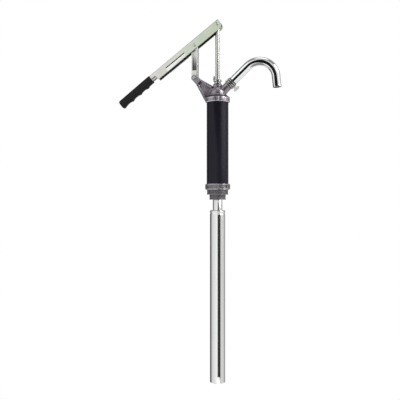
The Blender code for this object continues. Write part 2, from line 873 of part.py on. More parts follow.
# =====================================================================================
# outlet socket, spout and lock screw
# =====================================================================================
socket = finish(
    "spout_socket",
    turned(
        [
            (6.5, 37.3),
            (9.2, 37.3),
            (9.2, BOSS_END + GAP),
            (13.0, BOSS_END + GAP),
            (13.0, 44.3),
            (SOCKET_R + 1.0, 44.5),
            (SOCKET_R + 1.0, 46.6),
            (SOCKET_R, 46.9),
            (SOCKET_R, 58.0),
            (13.4, 58.5),
            (13.4, SOCKET_END),
            (SPOUT_R + GAP, SOCKET_END),
            (SPOUT_R + GAP, 44.6),
            (6.5, 44.6),
        ],
        40,
        OUT_MATRIX,
    ),
    ZINC,
)
SCREW_S = 52.0
screw_matrix = OUT_MATRIX @ Matrix.Translation((0, 0, SCREW_S)) @ Matrix.Rotation(math.radians(90), 4, "Y")
# local Z of screw_matrix runs from the outlet axis down and outwards
boolean(
    socket,
    finish("helper_screw_bore", turned([(0, 9.0), (2.8, 9.0), (2.8, 22.0), (0, 22.0)], 16, screw_matrix), ZINC, cutter=True),
    "DIFFERENCE",
)
finish(
    "spout_seal_ring",
    turned([(8.0, 44.9), (11.5, 44.9), (11.5, 47.1), (8.0, 47.1)], 28, OUT_MATRIX),
    RUBBER,
)
screw_origin = OUT_MATRIX @ Vector((0, 0, SCREW_S))
screw = finish(
    "spout_thumb_screw",
    turned([(0, 12.0), (2.0, 12.0), (2.5, 12.5), (2.5, 15.5), (4.2, 15.5), (4.2, 18.0), (3.0, 20.0), (0, 20.0)], 18, screw_matrix),
    ZINC,
    origin=tuple(screw_origin),
)
wing = []
for k in range(25):
    a = 2 * math.pi * k / 24
    if k == 24:
        break
    wing.append((8.2 * math.sin(a) * (1.0 + 0.18 * abs(math.sin(a))), 21.9 + 5.0 * math.cos(a) + 1.2 * abs(math.sin(a))))
boolean(
    screw,
    finish("helper_wing", prism(wing, -1.5, 1.5, screw_matrix), ZINC, cutter=True),
    "UNION",
)


def spout_path():
    """Centreline as (x, z, heading): straight from the socket, one bend, and a short straight tail."""
    start = OUT_MATRIX @ Vector((0, 0, SPOUT_START))
    pts = [(start.x, start.z, OUT_ANGLE)]
    cx, cz = SPOUT_APEX[0], SPOUT_APEX[1] - SPOUT_BEND_R
    steps = 15
    for k in range(steps + 1):
        heading = OUT_ANGLE - (OUT_ANGLE - SPOUT_TAIL) * k / steps
        h = math.radians(heading)
        pts.append((cx - SPOUT_BEND_R * math.sin(h), cz + SPOUT_BEND_R * math.cos(h), heading))
    x, z, _ = pts[-1]
    pts.append((x + (z - SPOUT_END_Z) / math.tan(math.radians(-SPOUT_TAIL)), SPOUT_END_Z, SPOUT_TAIL))
    return pts


bm = bmesh.new()
SPOUT_SIDES = 20
outer_rings, inner_rings = [], []
for x, z, heading in spout_path():
    h = math.radians(heading)
    normal = Vector((-math.sin(h), 0, math.cos(h)))
    side = Vector((0, 1, 0))
    for rings_, r in ((outer_rings, SPOUT_R), (inner_rings, SPOUT_R - SPOUT_WALL)):
        rings_.append(
            [
                bm.verts.new(
                    Vector((x, 0, z))
                    + normal * (r * math.cos(2 * math.pi * i / SPOUT_SIDES))
                    + side * (r * math.sin(2 * math.pi * i / SPOUT_SIDES))
                )
                for i in range(SPOUT_SIDES)
            ]
        )
for rings_ in (outer_rings, inner_rings):
    for a, b in zip(rings_, rings_[1:]):
        for i in range(SPOUT_SIDES):
            j = (i + 1) % SPOUT_SIDES
            bm.faces.new((a[i], a[j], b[j], b[i]))
for end in (0, -1):
    for i in range(SPOUT_SIDES):
        j = (i + 1) % SPOUT_SIDES
        bm.faces.new((outer_rings[end][i], outer_rings[end][j], inner_rings[end][j], inner_rings[end][i]))
finish("spout_tube", bm, CHROME, origin=OUT_ORIGIN)
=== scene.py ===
"""Looks of the lever-action drum barrel pump.

Every piece is modelled in millimetres in the pump's own frame (+Z up, origin on the pump's
axis at the bung adapter's seat) and rides on the body that carries it.
"""

import math

import bmesh
import bpy
from mathutils import Matrix, Vector, noise


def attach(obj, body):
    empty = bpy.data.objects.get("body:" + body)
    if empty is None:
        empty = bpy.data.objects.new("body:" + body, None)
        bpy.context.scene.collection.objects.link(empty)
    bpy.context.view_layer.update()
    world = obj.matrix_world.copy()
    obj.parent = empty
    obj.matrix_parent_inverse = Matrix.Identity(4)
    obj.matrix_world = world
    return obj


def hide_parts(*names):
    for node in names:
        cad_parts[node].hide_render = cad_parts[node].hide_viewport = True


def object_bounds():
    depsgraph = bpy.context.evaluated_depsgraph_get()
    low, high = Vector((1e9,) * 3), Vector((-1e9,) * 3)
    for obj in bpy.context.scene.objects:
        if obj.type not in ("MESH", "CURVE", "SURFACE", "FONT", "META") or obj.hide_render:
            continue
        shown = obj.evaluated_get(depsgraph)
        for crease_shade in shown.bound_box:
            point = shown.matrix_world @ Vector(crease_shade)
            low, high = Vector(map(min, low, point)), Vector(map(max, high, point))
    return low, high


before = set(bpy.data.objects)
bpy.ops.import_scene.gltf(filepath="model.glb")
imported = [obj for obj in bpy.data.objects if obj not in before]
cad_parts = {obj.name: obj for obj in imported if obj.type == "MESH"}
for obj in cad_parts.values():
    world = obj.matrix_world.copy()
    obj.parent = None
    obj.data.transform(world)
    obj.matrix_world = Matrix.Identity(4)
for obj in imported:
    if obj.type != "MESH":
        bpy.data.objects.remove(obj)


def plain(box):
    return [[float(x) for x in crease_shade] for crease_shade in box]


CAD_BOX = plain(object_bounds())
SCENE = bpy.context.scene
MM = 0.001

# ---- the pump's own sizes, in millimetres --------------------------------------------
TUBE_R, TUBE_WALL = 30.15, 1.6
FLANGE_R, FLANGE_TOP = 33.0, 16.4
THREAD2_R, THREAD2_Z = 29.8, -13.3
THREAD15_R, THREAD15_Z = 23.0, -27.4
LUG_AZIMUTHS = (24.0, 76.0, 204.0, 256.0)
INNER_R, INNER_WALL = 13.35, 1.6
OUTER_R, OUTER_WALL = 21.1, 1.5
OUTER_Z0, OUTER_Z1 = -532.0, -56.4
RIM_R = 33.9
DOME_R, DOME_Z, CAVITY_R = 23.5, 263.5, 19.8
OUT_ANGLE, OUT_ORIGIN = 43.5, (0.0, 0.0, 258.5)
BOSS_R, BOSS_END = 12.0, 42.2
SOCKET_R, SOCKET_END = 14.9, 60.4
SPOUT_R, SPOUT_WALL, SPOUT_BEND_R, SPOUT_START = 11.7, 1.5, 46.6, 47.4
SPOUT_APEX, SPOUT_END_Z, SPOUT_TAIL = (115.86, 350.8), 278.3, -84.0
PIN_R, PIN_L, PIN_F = (0.0, 458.0), (-64.0, 402.0), (-64.0, 311.0)
ROD_R = 6.35
HANDLE_ANGLE = 37.2
HALF, TOP, BOTTOM, SHEET = 12.0, 9.0, -16.2, 2.5
CHANNEL_S0, CHANNEL_S1 = -9.5, 237.6
GRIP_S0, GRIP_S1 = 238.6, 353.6
LINK_R, LINK_TOP_R, LINK_HALF = 8.8, 6.4, 8.0
PIN_DIA_R, HOLE_R = 3.15, 3.45
GAP = 0.3

OUT = math.radians(OUT_ANGLE)
OUT_DIR = Vector((math.cos(OUT), 0, math.sin(OUT)))
OUT_MATRIX = Matrix.Translation(Vector(OUT_ORIGIN)) @ Matrix.Rotation(math.radians(90) - OUT, 4, "Y")
HA = math.radians(HANDLE_ANGLE)
HM = Matrix(
    (
        (-math.cos(HA), 0.0, -math.sin(HA), PIN_R[0]),
        (0.0, 1.0, 0.0, 0.0),
        (-math.sin(HA), 0.0, math.cos(HA), PIN_R[1]),
        (0.0, 0.0, 0.0, 1.0),
    )
)


def along_y(x, z):
    return Matrix.Translation(Vector((x, 0, z))) @ Matrix.Rotation(math.radians(-90), 4, "X")


# ======================================================================================
# mesh helpers
# ======================================================================================
def arc(cx, cy, r, a0, a1, steps):
    return [
        (
            cx + r * math.cos(math.radians(a0 + (a1 - a0) * k / steps)),
            cy + r * math.sin(math.radians(a0 + (a1 - a0) * k / steps)),
        )
        for k in range(steps + 1)
    ]


def hull(points):
    pts = sorted(set((round(x, 6), round(y, 6)) for x, y in points))

    def half(seq):
        out = []
        for p in seq:
            while len(out) > 1 and (out[-1][0] - out[-2][0]) * (p[1] - out[-2][1]) - (
                out[-1][1] - out[-2][1]
            ) * (p[0] - out[-2][0]) <= 0:
                out.pop()
            out.append(p)
        return out[:-1]

    return half(pts) + half(pts[::-1])


def hexagon(across_flats, turn=0.0):
    r = across_flats / math.sqrt(3)
    return [
        (r * math.cos(math.radians(60 * k + turn)), r * math.sin(math.radians(60 * k + turn)))
        for k in range(6)
    ]


def rounded(chain, r=0.4, steps=3, closed=True):
    """The outline with its corners rounded."""
    pts = [Vector(p) for p in chain]
    n, out = len(pts), []
    for i, p in enumerate(pts):
        if not closed and i in (0, n - 1):
            out.append(p)
            continue
        u, v = pts[i - 1] - p, pts[(i + 1) % n] - p
        lu, lv = u.length, v.length
        if lu < 1e-6 or lv < 1e-6:
            continue
        u.normalize()
        v.normalize()
        ang = u.angle(v)
        if ang > math.radians(158) or ang < 0.02:
            out.append(p)
            continue
        d = min(r / math.tan(ang / 2), 0.45 * lu, 0.45 * lv)
        p0, p1 = p + u * d, p + v * d
        for k in range(steps + 1):
            t = k / steps
            out.append((1 - t) ** 2 * p0 + 2 * t * (1 - t) * p + t * t * p1)
    return [(q.x, q.y) for q in out]


def turned(chain, segments=96, matrix=None, edge=0.35, steps=3):
    """A solid of revolution about Z from (radius, z) points, with its corners rounded."""
    on_axis = chain[0][0] == 0 and chain[-1][0] == 0
    if edge:
        chain = rounded(chain, edge, steps, closed=not on_axis)
    bm = bmesh.new()
    rings = []
    for r, z in chain:
        if r < 1e-6:
            rings.append([bm.verts.new((0, 0, z))])
        else:
            rings.append(
                [
                    bm.verts.new((r * math.cos(2 * math.pi * k / segments), r * math.sin(2 * math.pi * k / segments), z))
                    for k in range(segments)
                ]
            )
    pairs = list(zip(rings, rings[1:]))
    if not on_axis:
        pairs.append((rings[-1], rings[0]))
    for a, b in pairs:
        for i in range(segments):
            j = (i + 1) % segments
            if len(a) == 1 and len(b) == 1:
                continue
            if len(a) == 1:
                bm.faces.new((a[0], b[i], b[j]))
            elif len(b) == 1:
                bm.faces.new((a[i], a[j], b[0]))
            else:
                bm.faces.new((a[i], a[j], b[j], b[i]))
    bmesh.ops.recalc_face_normals(bm, faces=bm.faces)
    if matrix is not None:
        bm.transform(matrix)
    return bm


def soften(bm, width, segments=2, least=35.0):
    """Rounds every edge sharper than least degrees."""
    edges = [e for e in bm.edges if len(e.link_faces) == 2 and e.calc_face_angle(0) > math.radians(least)]
    if edges:
        bmesh.ops.bevel(
            bm, geom=edges, offset=width, offset_type="OFFSET", segments=segments, profile=0.5, affect="EDGES", clamp_overlap=True
        )
    return bm


def prism(points, depth0, depth1, matrix=None, edge=0.0, segments=2, axis="Y"):
    """A polygon of (u, v) extruded along Y (u is X, v is Z) or along Z (u is X, v is Y)."""
    bm = bmesh.new()
    if axis == "Y":
        face = bm.faces.new([bm.verts.new((u, depth0, v)) for u, v in points])
        step = (0, depth1 - depth0, 0)
    elif axis == "Z":
        face = bm.faces.new([bm.verts.new((u, v, depth0)) for u, v in points])
        step = (0, 0, depth1 - depth0)
    else:
        face = bm.faces.new([bm.verts.new((depth0, u, v)) for u, v in points])
        step = (depth1 - depth0, 0, 0)
    made = bmesh.ops.extrude_face_region(bm, geom=[face])
    moved = [g for g in made["geom"] if isinstance(g, bmesh.types.BMVert)]
    bmesh.ops.translate(bm, verts=moved, vec=step)
    bmesh.ops.recalc_face_normals(bm, faces=bm.faces)
    if edge:
        soften(bm, edge, segments)
    if matrix is not None:
        bm.transform(matrix)
    return bm


def block(lo, hi, matrix=None, edge=0.0):
    return prism(
        [(lo[0], lo[2]), (hi[0], lo[2]), (hi[0], hi[2]), (lo[0], hi[2])], lo[1], hi[1], matrix, edge
    )


def helper(bm):
    bm.normal_update()
    bmesh.ops.recalc_face_normals(bm, faces=bm.faces)
    mesh = bpy.data.meshes.new("helper")
    bm.to_mesh(mesh)
    bm.free()
    obj = bpy.data.objects.new("helper", mesh)
    SCENE.collection.objects.link(obj)
    return obj


def read(obj):
    """The object's evaluated mesh as a bmesh."""
    bpy.context.view_layer.update()
    graph = bpy.context.evaluated_depsgraph_get()
    mesh = bpy.data.meshes.new_from_object(obj.evaluated_get(graph))
    bm = bmesh.new()
    bm.from_mesh(mesh)
    bpy.data.meshes.remove(mesh)
    return bm


def drop(*objs):
    for o in objs:
        mesh = o.data
        bpy.data.objects.remove(o, do_unlink=True)
        bpy.data.meshes.remove(mesh)


def combine(base, *steps):
    """Booleans in order: each step is ("UNION" or "DIFFERENCE", bmesh)."""
    obj = helper(base)
    others = []
    for k, (operation, bm) in enumerate(steps):
        other = helper(bm)
        others.append(other)
        m = obj.modifiers.new(f"b{k}", "BOOLEAN")
        m.operation = operation
        m.object = other
        m.solver = "EXACT"
    out = read(obj)
    drop(obj, *others)
    return out


def cast(bm, voxel, smooth=6, factor=0.5, roughness=0.0, seed=0.0):
    """Remeshes to fine even faces, melts the corners into fillets, and adds the sand's grain."""
    obj = helper(bm)
    m = obj.modifiers.new("remesh", "REMESH")
    m.mode = "VOXEL"
    m.voxel_size = voxel
    m.adaptivity = 0.0
    s = obj.modifiers.new("smooth", "SMOOTH")
    s.factor = factor
    s.iterations = smooth
    out = read(obj)
    drop(obj)
    out.normal_update()
    if roughness:
        shift = Vector((seed, seed * 1.7, seed * 0.3))
        for v in out.verts:
            p = v.co + shift
            d = 0.55 * noise.noise(p * 0.55) + 0.3 * noise.noise(p * 1.3) + 0.15 * noise.noise(p * 0.16)
            v.co -= v.normal * roughness * (d + 0.5)
    return out


def piece(name, bm, body, look, nodes=(), angle=35.0, weld=1e-4):
    bmesh.ops.remove_doubles(bm, verts=bm.verts, dist=weld)
    loose = [v for v in bm.verts if not v.link_faces]
    if loose:
        bmesh.ops.delete(bm, geom=loose, context="VERTS")
    bmesh.ops.recalc_face_normals(bm, faces=bm.faces)
    bm.transform(Matrix.Scale(MM, 4))
    mesh = bpy.data.meshes.new(name)
    bm.to_mesh(mesh)
    bm.free()
    mesh.shade_smooth()
    mesh.set_sharp_from_angle(angle=math.radians(angle))
    obj = bpy.data.objects.new(name, mesh)
    SCENE.collection.objects.link(obj)
    mesh.materials.append(look)
    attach(obj, body)
    if nodes:
        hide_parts(*nodes)
    return obj


# ======================================================================================
# materials
# ======================================================================================
class Look:
    """A Principled material whose colour, gloss and relief vary over the surface."""

    def __init__(self, name, metallic, **sockets):
        self.m = bpy.data.materials.new(name)
        self.m.use_nodes = True
        self.t = self.m.node_tree
        self.b = self.t.nodes["Principled BSDF"]
        self.b.inputs["Metallic"].default_value = metallic
        for key, value in sockets.items():
            self.b.inputs[key.replace("_", " ")].default_value = value
        self.co = self.t.nodes.new("ShaderNodeTexCoord")
        self.bump = None
        self.color = None
        self.rough = None

    def node(self, kind, **inputs):
        n = self.t.nodes.new(kind)
        for key, value in inputs.items():
            if key.startswith("_"):
                setattr(n, key[1:], value)
            else:
                n.inputs[key.replace("_", " ")].default_value = value
        return n

    def link(self, a, b):
        self.t.links.new(a, b)

    def coords(self, stretch=(1, 1, 1), turn=(0, 0, 0)):
        n = self.node("ShaderNodeMapping")
        n.inputs["Scale"].default_value = stretch
        n.inputs["Rotation"].default_value = turn
        self.link(self.co.outputs["Object"], n.inputs["Vector"])
        return n.outputs["Vector"]

    def noise(self, scale, detail=5.0, rough=0.55, stretch=(1, 1, 1), distortion=0.0, turn=(0, 0, 0)):
        n = self.node("ShaderNodeTexNoise", Scale=scale, Detail=detail, Roughness=rough, Distortion=distortion)
        self.link(self.coords(stretch, turn), n.inputs["Vector"])
        return n.outputs["Fac"]

    def cells(self, scale, feature="F1", stretch=(1, 1, 1)):
        n = self.node("ShaderNodeTexVoronoi", Scale=scale, _feature=feature)
        self.link(self.coords(stretch), n.inputs["Vector"])
        return n.outputs["Distance"]

    def ramp(self, source, *stops):
        n = self.node("ShaderNodeValToRGB")
        e = n.color_ramp.elements
        while len(e) < len(stops):
            e.new(0.5)
        for k, (position, c) in enumerate(stops):
            e[k].position = position
            e[k].color = (*c, 1) if len(c) == 3 else c
        self.link(source, n.inputs["Fac"])
        return n.outputs["Color"]

    def mix(self, fac, a, b, mode="MIX"):
        n = self.node("ShaderNodeMix", _data_type="RGBA", _blend_type=mode)
        for socket, value in ((n.inputs[0], fac), (n.inputs[6], a), (n.inputs[7], b)):
            if isinstance(value, bpy.types.NodeSocket):
                self.link(value, socket)
            elif isinstance(value, (tuple, list)):
                socket.default_value = (*value, 1)
            else:
                socket.default_value = value
        return n.outputs[2]

    def span(self, source, lo, hi, out_lo, out_hi):
        n = self.node("ShaderNodeMapRange")
        n.inputs["From Min"].default_value = lo
        n.inputs["From Max"].default_value = hi
        n.inputs["To Min"].default_value = out_lo
        n.inputs["To Max"].default_value = out_hi
        self.link(source, n.inputs["Value"])
        return n.outputs["Result"]

    def relief(self, source, strength, distance_mm):
        n = self.node("ShaderNodeBump", Strength=strength, Distance=distance_mm * MM)
        self.link(source, n.inputs["Height"])
        if self.bump is not None:
            self.link(self.bump, n.inputs["Normal"])
        self.bump = n.outputs["Normal"]

    def edges(self, lo=0.505, hi=0.53):
        """1 along sharp outer edges, 0 elsewhere."""
        n = self.node("ShaderNodeNewGeometry")
        return self.span(n.outputs["Pointiness"], lo, hi, 0.0, 1.0)

    def hollows(self, lo=0.495, hi=0.45):
        n = self.node("ShaderNodeNewGeometry")
        return self.span(n.outputs["Pointiness"], lo, hi, 0.0, 1.0)

    def done(self, color, rough):
        self.link(color, self.b.inputs["Base Color"])
        self.link(rough, self.b.inputs["Roughness"])
        if self.bump is not None:
            self.link(self.bump, self.b.inputs["Normal"])
        return self.m


def cast_metal(name, dark, light, metallic=0.85, rough=(0.24, 0.40), crease=0.011):
    k = Look(name, metallic)
    blotch = k.noise(70, 6, 0.6)
    grain = k.noise(900, 3, 0.7)
    color = k.mix(k.span(blotch, 0.3, 0.7, 0, 1), dark, light)
    color = k.mix(k.span(grain, 0.35, 0.72, 0.0, 0.35), color, tuple(c * 1.5 for c in light))
    color = k.mix(k.span(grain, 0.52, 0.28, 0.0, 0.5), color, tuple(c * 0.45 for c in dark))
    # painted shade darkens the corners and creases, and the proud edges are brightened, partly as wear and partly as a
    # painted highlight
    crease_shade = k.node("ShaderNodeAmbientOcclusion", _samples=8)
    crease_shade.inputs["Distance"].default_value = crease
    color = k.mix(k.span(crease_shade.outputs["AO"], 0.82, 0.45, 0.0, 0.9), color, tuple(c * 0.16 for c in dark))
    color = k.mix(k.edges(0.506, 0.535), color, tuple(min(1.0, c * 2.1) for c in light))
    k.relief(grain, 0.35, 0.10)
    k.relief(k.noise(2200, 2, 0.6), 0.25, 0.04)
    k.relief(k.cells(420), 0.10, 0.12)
    return k.done(color, k.span(blotch, 0.3, 0.7, rough[0], rough[1]))


def machined(name, color, rough=(0.22, 0.36), metallic=0.9, rings=2600):
    """A turned surface with fine tool lines round its axis."""
    k = Look(name, metallic)
    lines = k.noise(rings, 2, 0.5, stretch=(0.02, 0.02, 1.0))
    tint = k.noise(120, 5, 0.6)
    c = k.mix(k.span(tint, 0.3, 0.7, 0, 1), tuple(v * 0.82 for v in color), color)
    c = k.mix(k.span(lines, 0.35, 0.7, 0, 0.3), c, tuple(min(1, v * 1.25) for v in color))
    k.relief(lines, 0.25, 0.03)
    return k.done(c, k.span(tint, 0.3, 0.7, *rough))


def zinc(name, color, shade, rough, stretch=(1, 1, 1), spangle=55.0, relief=0.1):
    """Clear zinc plating: faint cloudy patches, fine rolling lines and hairline scratches."""
    k = Look(name, 1.0)
    cloud = k.noise(spangle, 5, 0.55, stretch)
    streak = k.noise(spangle * 9, 4, 0.6, stretch)
    fine = k.noise(2400, 2, 0.5, stretch)
    c = k.mix(k.span(cloud, 0.32, 0.68, 0, 1), shade, color)
    c = k.mix(k.span(streak, 0.45, 0.8, 0, 0.25), c, tuple(v * 0.86 for v in shade))
    k.relief(streak, relief, 0.05)
    k.relief(fine, relief * 0.8, 0.02)
    mixed = k.mix(0.5, cloud, streak)
    return k.done(c, k.span(mixed, 0.3, 0.7, *rough))


def tint_along(look, x0, x1, *stops, axis="X", within=None):
    """Multiplies the colour by a ramp along one axis of the piece (metres), inside |x| < within if given."""
    t_ = look.node_tree
    b_ = t_.nodes["Principled BSDF"]
    co_ = t_.nodes.new("ShaderNodeTexCoord")
    xyz = t_.nodes.new("ShaderNodeSeparateXYZ")
    t_.links.new(co_.outputs["Object"], xyz.inputs[0])
    span = t_.nodes.new("ShaderNodeMapRange")
    span.inputs["From Min"].default_value = x0
    span.inputs["From Max"].default_value = x1
    t_.links.new(xyz.outputs[axis], span.inputs["Value"])
    ramp = t_.nodes.new("ShaderNodeValToRGB")
    e = ramp.color_ramp.elements
    while len(e) < len(stops):
        e.new(0.5)
    for k, (position, c) in enumerate(stops):
        e[k].position = position
        e[k].color = (*c, 1)
    t_.links.new(span.outputs["Result"], ramp.inputs["Fac"])
    mix = t_.nodes.new("ShaderNodeMix")
    mix.data_type = "RGBA"
    mix.blend_type = "MULTIPLY"
    mix.inputs[0].default_value = 1.0
    if within:
        away = t_.nodes.new("ShaderNodeMath")
        away.operation = "ABSOLUTE"
        t_.links.new(xyz.outputs["X"], away.inputs[0])
        near = t_.nodes.new("ShaderNodeMapRange")
        near.inputs["From Min"].default_value = within + 0.001
        near.inputs["From Max"].default_value = within
        t_.links.new(away.outputs[0], near.inputs["Value"])
        t_.links.new(near.outputs["Result"], mix.inputs[0])
    t_.links.new(b_.inputs["Base Color"].links[0].from_socket, mix.inputs[6])
    t_.links.new(ramp.outputs["Color"], mix.inputs[7])
    t_.links.new(mix.outputs[2], b_.inputs["Base Color"])


def painted_shade_panel(look, centre_x, half, z_clear, z_full_shade, z_end, shade):
    """Paints shade over a strip of the piece between two heights, in its own coordinates (metres)."""
    t_ = look.node_tree
    b_ = t_.nodes["Principled BSDF"]

    def add(kind, **values):
        n = t_.nodes.new(kind)
        for key, value in values.items():
            setattr(n, key, value)
        return n

    co_ = add("ShaderNodeTexCoord")
    xyz = add("ShaderNodeSeparateXYZ")
    t_.links.new(co_.outputs["Object"], xyz.inputs[0])

    def fade(source, a, b):
        n = add("ShaderNodeMapRange", interpolation_type="SMOOTHSTEP")
        n.inputs["From Min"].default_value = a
        n.inputs["From Max"].default_value = b
        t_.links.new(source, n.inputs["Value"])
        return n.outputs["Result"]

    def times(a, b):
        n = add("ShaderNodeMath", operation="MULTIPLY")
        t_.links.new(a, n.inputs[0])
        t_.links.new(b, n.inputs[1])
        return n.outputs[0]

    off = add("ShaderNodeMath", operation="SUBTRACT")
    t_.links.new(xyz.outputs["X"], off.inputs[0])
    off.inputs[1].default_value = centre_x
    away = add("ShaderNodeMath", operation="ABSOLUTE")
    t_.links.new(off.outputs[0], away.inputs[0])
    mask = times(fade(away.outputs[0], half, half - 0.0006), fade(xyz.outputs["Z"], z_clear, z_full_shade))
    mask = times(mask, fade(xyz.outputs["Z"], z_end, z_end + 0.0015))
    mix = add("ShaderNodeMix", data_type="RGBA", blend_type="MULTIPLY")
    mix.inputs[7].default_value = (*shade, 1)
    t_.links.new(mask, mix.inputs[0])
    t_.links.new(b_.inputs["Base Color"].links[0].from_socket, mix.inputs[6])
    t_.links.new(mix.outputs[2], b_.inputs["Base Color"])


def chrome(name):
    k = Look(name, 1.0)
    film = k.noise(28, 4, 0.5)
    wipe = k.noise(420, 4, 0.6, (1, 1, 0.2))
    c = k.mix(k.span(film, 0.35, 0.65, 0, 1), (0.84, 0.86, 0.87), (0.93, 0.935, 0.93))
    k.relief(k.noise(38, 2, 0.5), 0.05, 0.25)
    k.relief(wipe, 0.03, 0.01)
    return k.done(c, k.span(wipe, 0.35, 0.7, 0.035, 0.10))


def black_paint(name):
    k = Look(name, 0.0, Specular_IOR_Level=0.2)
    cloud = k.noise(26, 5, 0.6, (1, 1, 0.35))
    peel = k.noise(520, 3, 0.5)
    dust = k.noise(1500, 4, 0.75)
    c = k.mix(k.span(cloud, 0.3, 0.7, 0, 1), (0.0072, 0.0060, 0.0120), (0.0098, 0.0084, 0.0158))
    c = k.mix(k.span(dust, 0.66, 0.84, 0, 0.3), c, (0.035, 0.034, 0.038))
    k.relief(peel, 0.16, 0.08)
    return k.done(c, k.span(cloud, 0.3, 0.7, 0.26, 0.34))


def vinyl(name):
    k = Look(name, 0.0, Specular_IOR_Level=0.22)
    cloud = k.noise(60, 5, 0.6)
    pebble = k.cells(620)
    pores = k.noise(2600, 3, 0.7)
    c = k.mix(k.span(cloud, 0.3, 0.7, 0, 1), (0.0050, 0.0050, 0.0054), (0.0088, 0.0088, 0.0092))
    c = k.mix(k.span(pebble, 0.0, 0.5, 0.4, 0.0), c, (0.016, 0.016, 0.017))
    k.relief(pebble, 0.55, 0.18)
    k.relief(pores, 0.3, 0.05)
    return k.done(c, k.span(cloud, 0.3, 0.7, 0.46, 0.62))


def rubber(name):
    k = Look(name, 0.0, Specular_IOR_Level=0.3)
    cloud = k.noise(90, 5, 0.6)
    c = k.mix(k.span(cloud, 0.3, 0.7, 0, 1), (0.012, 0.012, 0.012), (0.03, 0.029, 0.028))
    k.relief(k.noise(1500, 3, 0.6), 0.3, 0.06)
    return k.done(c, k.span(cloud, 0.3, 0.7, 0.6, 0.8))


CAST = cast_metal("cast_head", (0.212, 0.191, 0.217), (0.345, 0.318, 0.350), crease=0.017)
CAST_CAP = cast_metal("cast_adapter", (0.135, 0.127, 0.133), (0.205, 0.195, 0.202))
THREAD = machined("cut_thread", (0.26, 0.245, 0.265), (0.3, 0.45), 0.75)
ZINC_TUBE = zinc("zinc_tube", (0.87, 0.88, 0.86), (0.80, 0.815, 0.79), (0.10, 0.17), (1, 1, 0.04), 60, 0.03)
ZINC_ROD = zinc("zinc_rod", (0.70, 0.70, 0.68), (0.62, 0.62, 0.60), (0.40, 0.50), (1, 1, 0.05), 80, 0.02)
ZINC_SHEET = zinc("zinc_sheet", (0.74, 0.755, 0.70), (0.66, 0.675, 0.62), (0.36, 0.48), (1, 1, 1), 48, 0.05)
# a brighter copy of the handle's zinc: painted highlight on the raised pads
PAD_HIGHLIGHT = zinc("zinc_pad_painted_highlight", (0.95, 0.96, 0.92), (0.88, 0.89, 0.85), (0.30, 0.40), (1, 1, 1), 48, 0.04)
ZINC_LINK = zinc("zinc_link", (0.86, 0.87, 0.83), (0.74, 0.75, 0.72), (0.34, 0.46), (1, 1, 1), 60, 0.05)
def grey(v):
    return (v, v, v)


# painted highlights brighten the head's rim and its edges, and painted shade darkens the step under the dome
tint_along(
    CAST, 0.2413, 0.2700,
    (0.0, grey(1.6)), (0.06, grey(1.5)), (0.10, grey(1.15)), (0.33, grey(1.15)), (0.37, grey(1.8)), (0.43, grey(1.7)),
    (0.46, grey(0.30)), (0.64, grey(0.22)), (0.70, grey(0.9)), (1.0, grey(1.0)),
    axis="Z", within=0.0335,
)
# painted highlights on the bung adapter flange's two rims, and painted shade along its lower edge and at the step
# between the threads
tint_along(
    CAST_CAP, -0.0280, 0.0170,
    (0.0, grey(1.1)), (0.20, grey(1.0)), (0.30, grey(0.40)), (0.322, grey(0.45)), (0.335, grey(2.3)), (0.37, grey(2.0)),
    (0.40, grey(0.75)), (0.60, grey(0.50)), (0.622, grey(0.45)), (0.636, grey(2.0)), (0.689, grey(1.7)),
    (0.733, grey(1.15)), (0.911, grey(1.15)), (0.944, grey(1.9)), (1.0, grey(1.9)),
    axis="Z",
)
tint_along(
    ZINC_SHEET, -0.19, 0.015,
    (0.0, (1.06, 1.02, 1.05)), (0.30, (1.07, 1.06, 1.06)), (0.62, (0.95, 1.01, 0.91)), (1.0, (0.86, 0.97, 0.81)),
)
PIN_ZINC = zinc("pin_zinc", (0.66, 0.67, 0.62), (0.54, 0.55, 0.50), (0.32, 0.44), (1, 1, 1), 90, 0.05)
ZINC_NUT = zinc("zinc_nut", (0.74, 0.74, 0.72), (0.56, 0.56, 0.55), (0.22, 0.34), (1, 1, 1), 90, 0.05)
ZINC_SOCKET = zinc("zinc_socket", (0.66, 0.67, 0.65), (0.52, 0.53, 0.51), (0.30, 0.42), (1, 1, 1), 90, 0.05)
WING = machined("die_cast_wing", (0.74, 0.74, 0.73), (0.5, 0.62), 0.35)
# near-black painted shade for the inside of the handle channel and the slit's cut edges
CHANNEL_SHADE = machined("painted_channel_shade", (0.045, 0.045, 0.048), (0.5, 0.65), 0.6)
# near-black painted shade for the outlet socket's grooves and bore
GROOVE_SHADE = machined("painted_groove_shade", (0.020, 0.020, 0.024), (0.4, 0.55), 0.5)
STEEL = zinc("bright_steel", (0.56, 0.56, 0.56), (0.42, 0.42, 0.43), (0.24, 0.38), (1, 1, 1), 120, 0.05)
CHROME = chrome("chrome_plate")
PAINT = black_paint("black_paint")
VINYL = vinyl("vinyl_grip")
RUBBER = rubber("rubber_seal")
BRASS = machined("brass_turned", (0.62, 0.44, 0.19), (0.24, 0.36), 1.0)
ALU = machined("aluminium_turned", (0.66, 0.66, 0.67), (0.28, 0.42), 1.0)

# ======================================================================================
# barrel and bung adapter
# ======================================================================================
ri = TUBE_R - TUBE_WALL
piece(
    "barrel",
    turned([(ri, 6.0), (TUBE_R, 6.0), (TUBE_R, 60), (TUBE_R, 130), (TUBE_R, 200), (TUBE_R, 253.2), (ri, 253.2)], 160, edge=0.3),
    "pump_body",
    PAINT,
    ["cylinder_tube"],
)


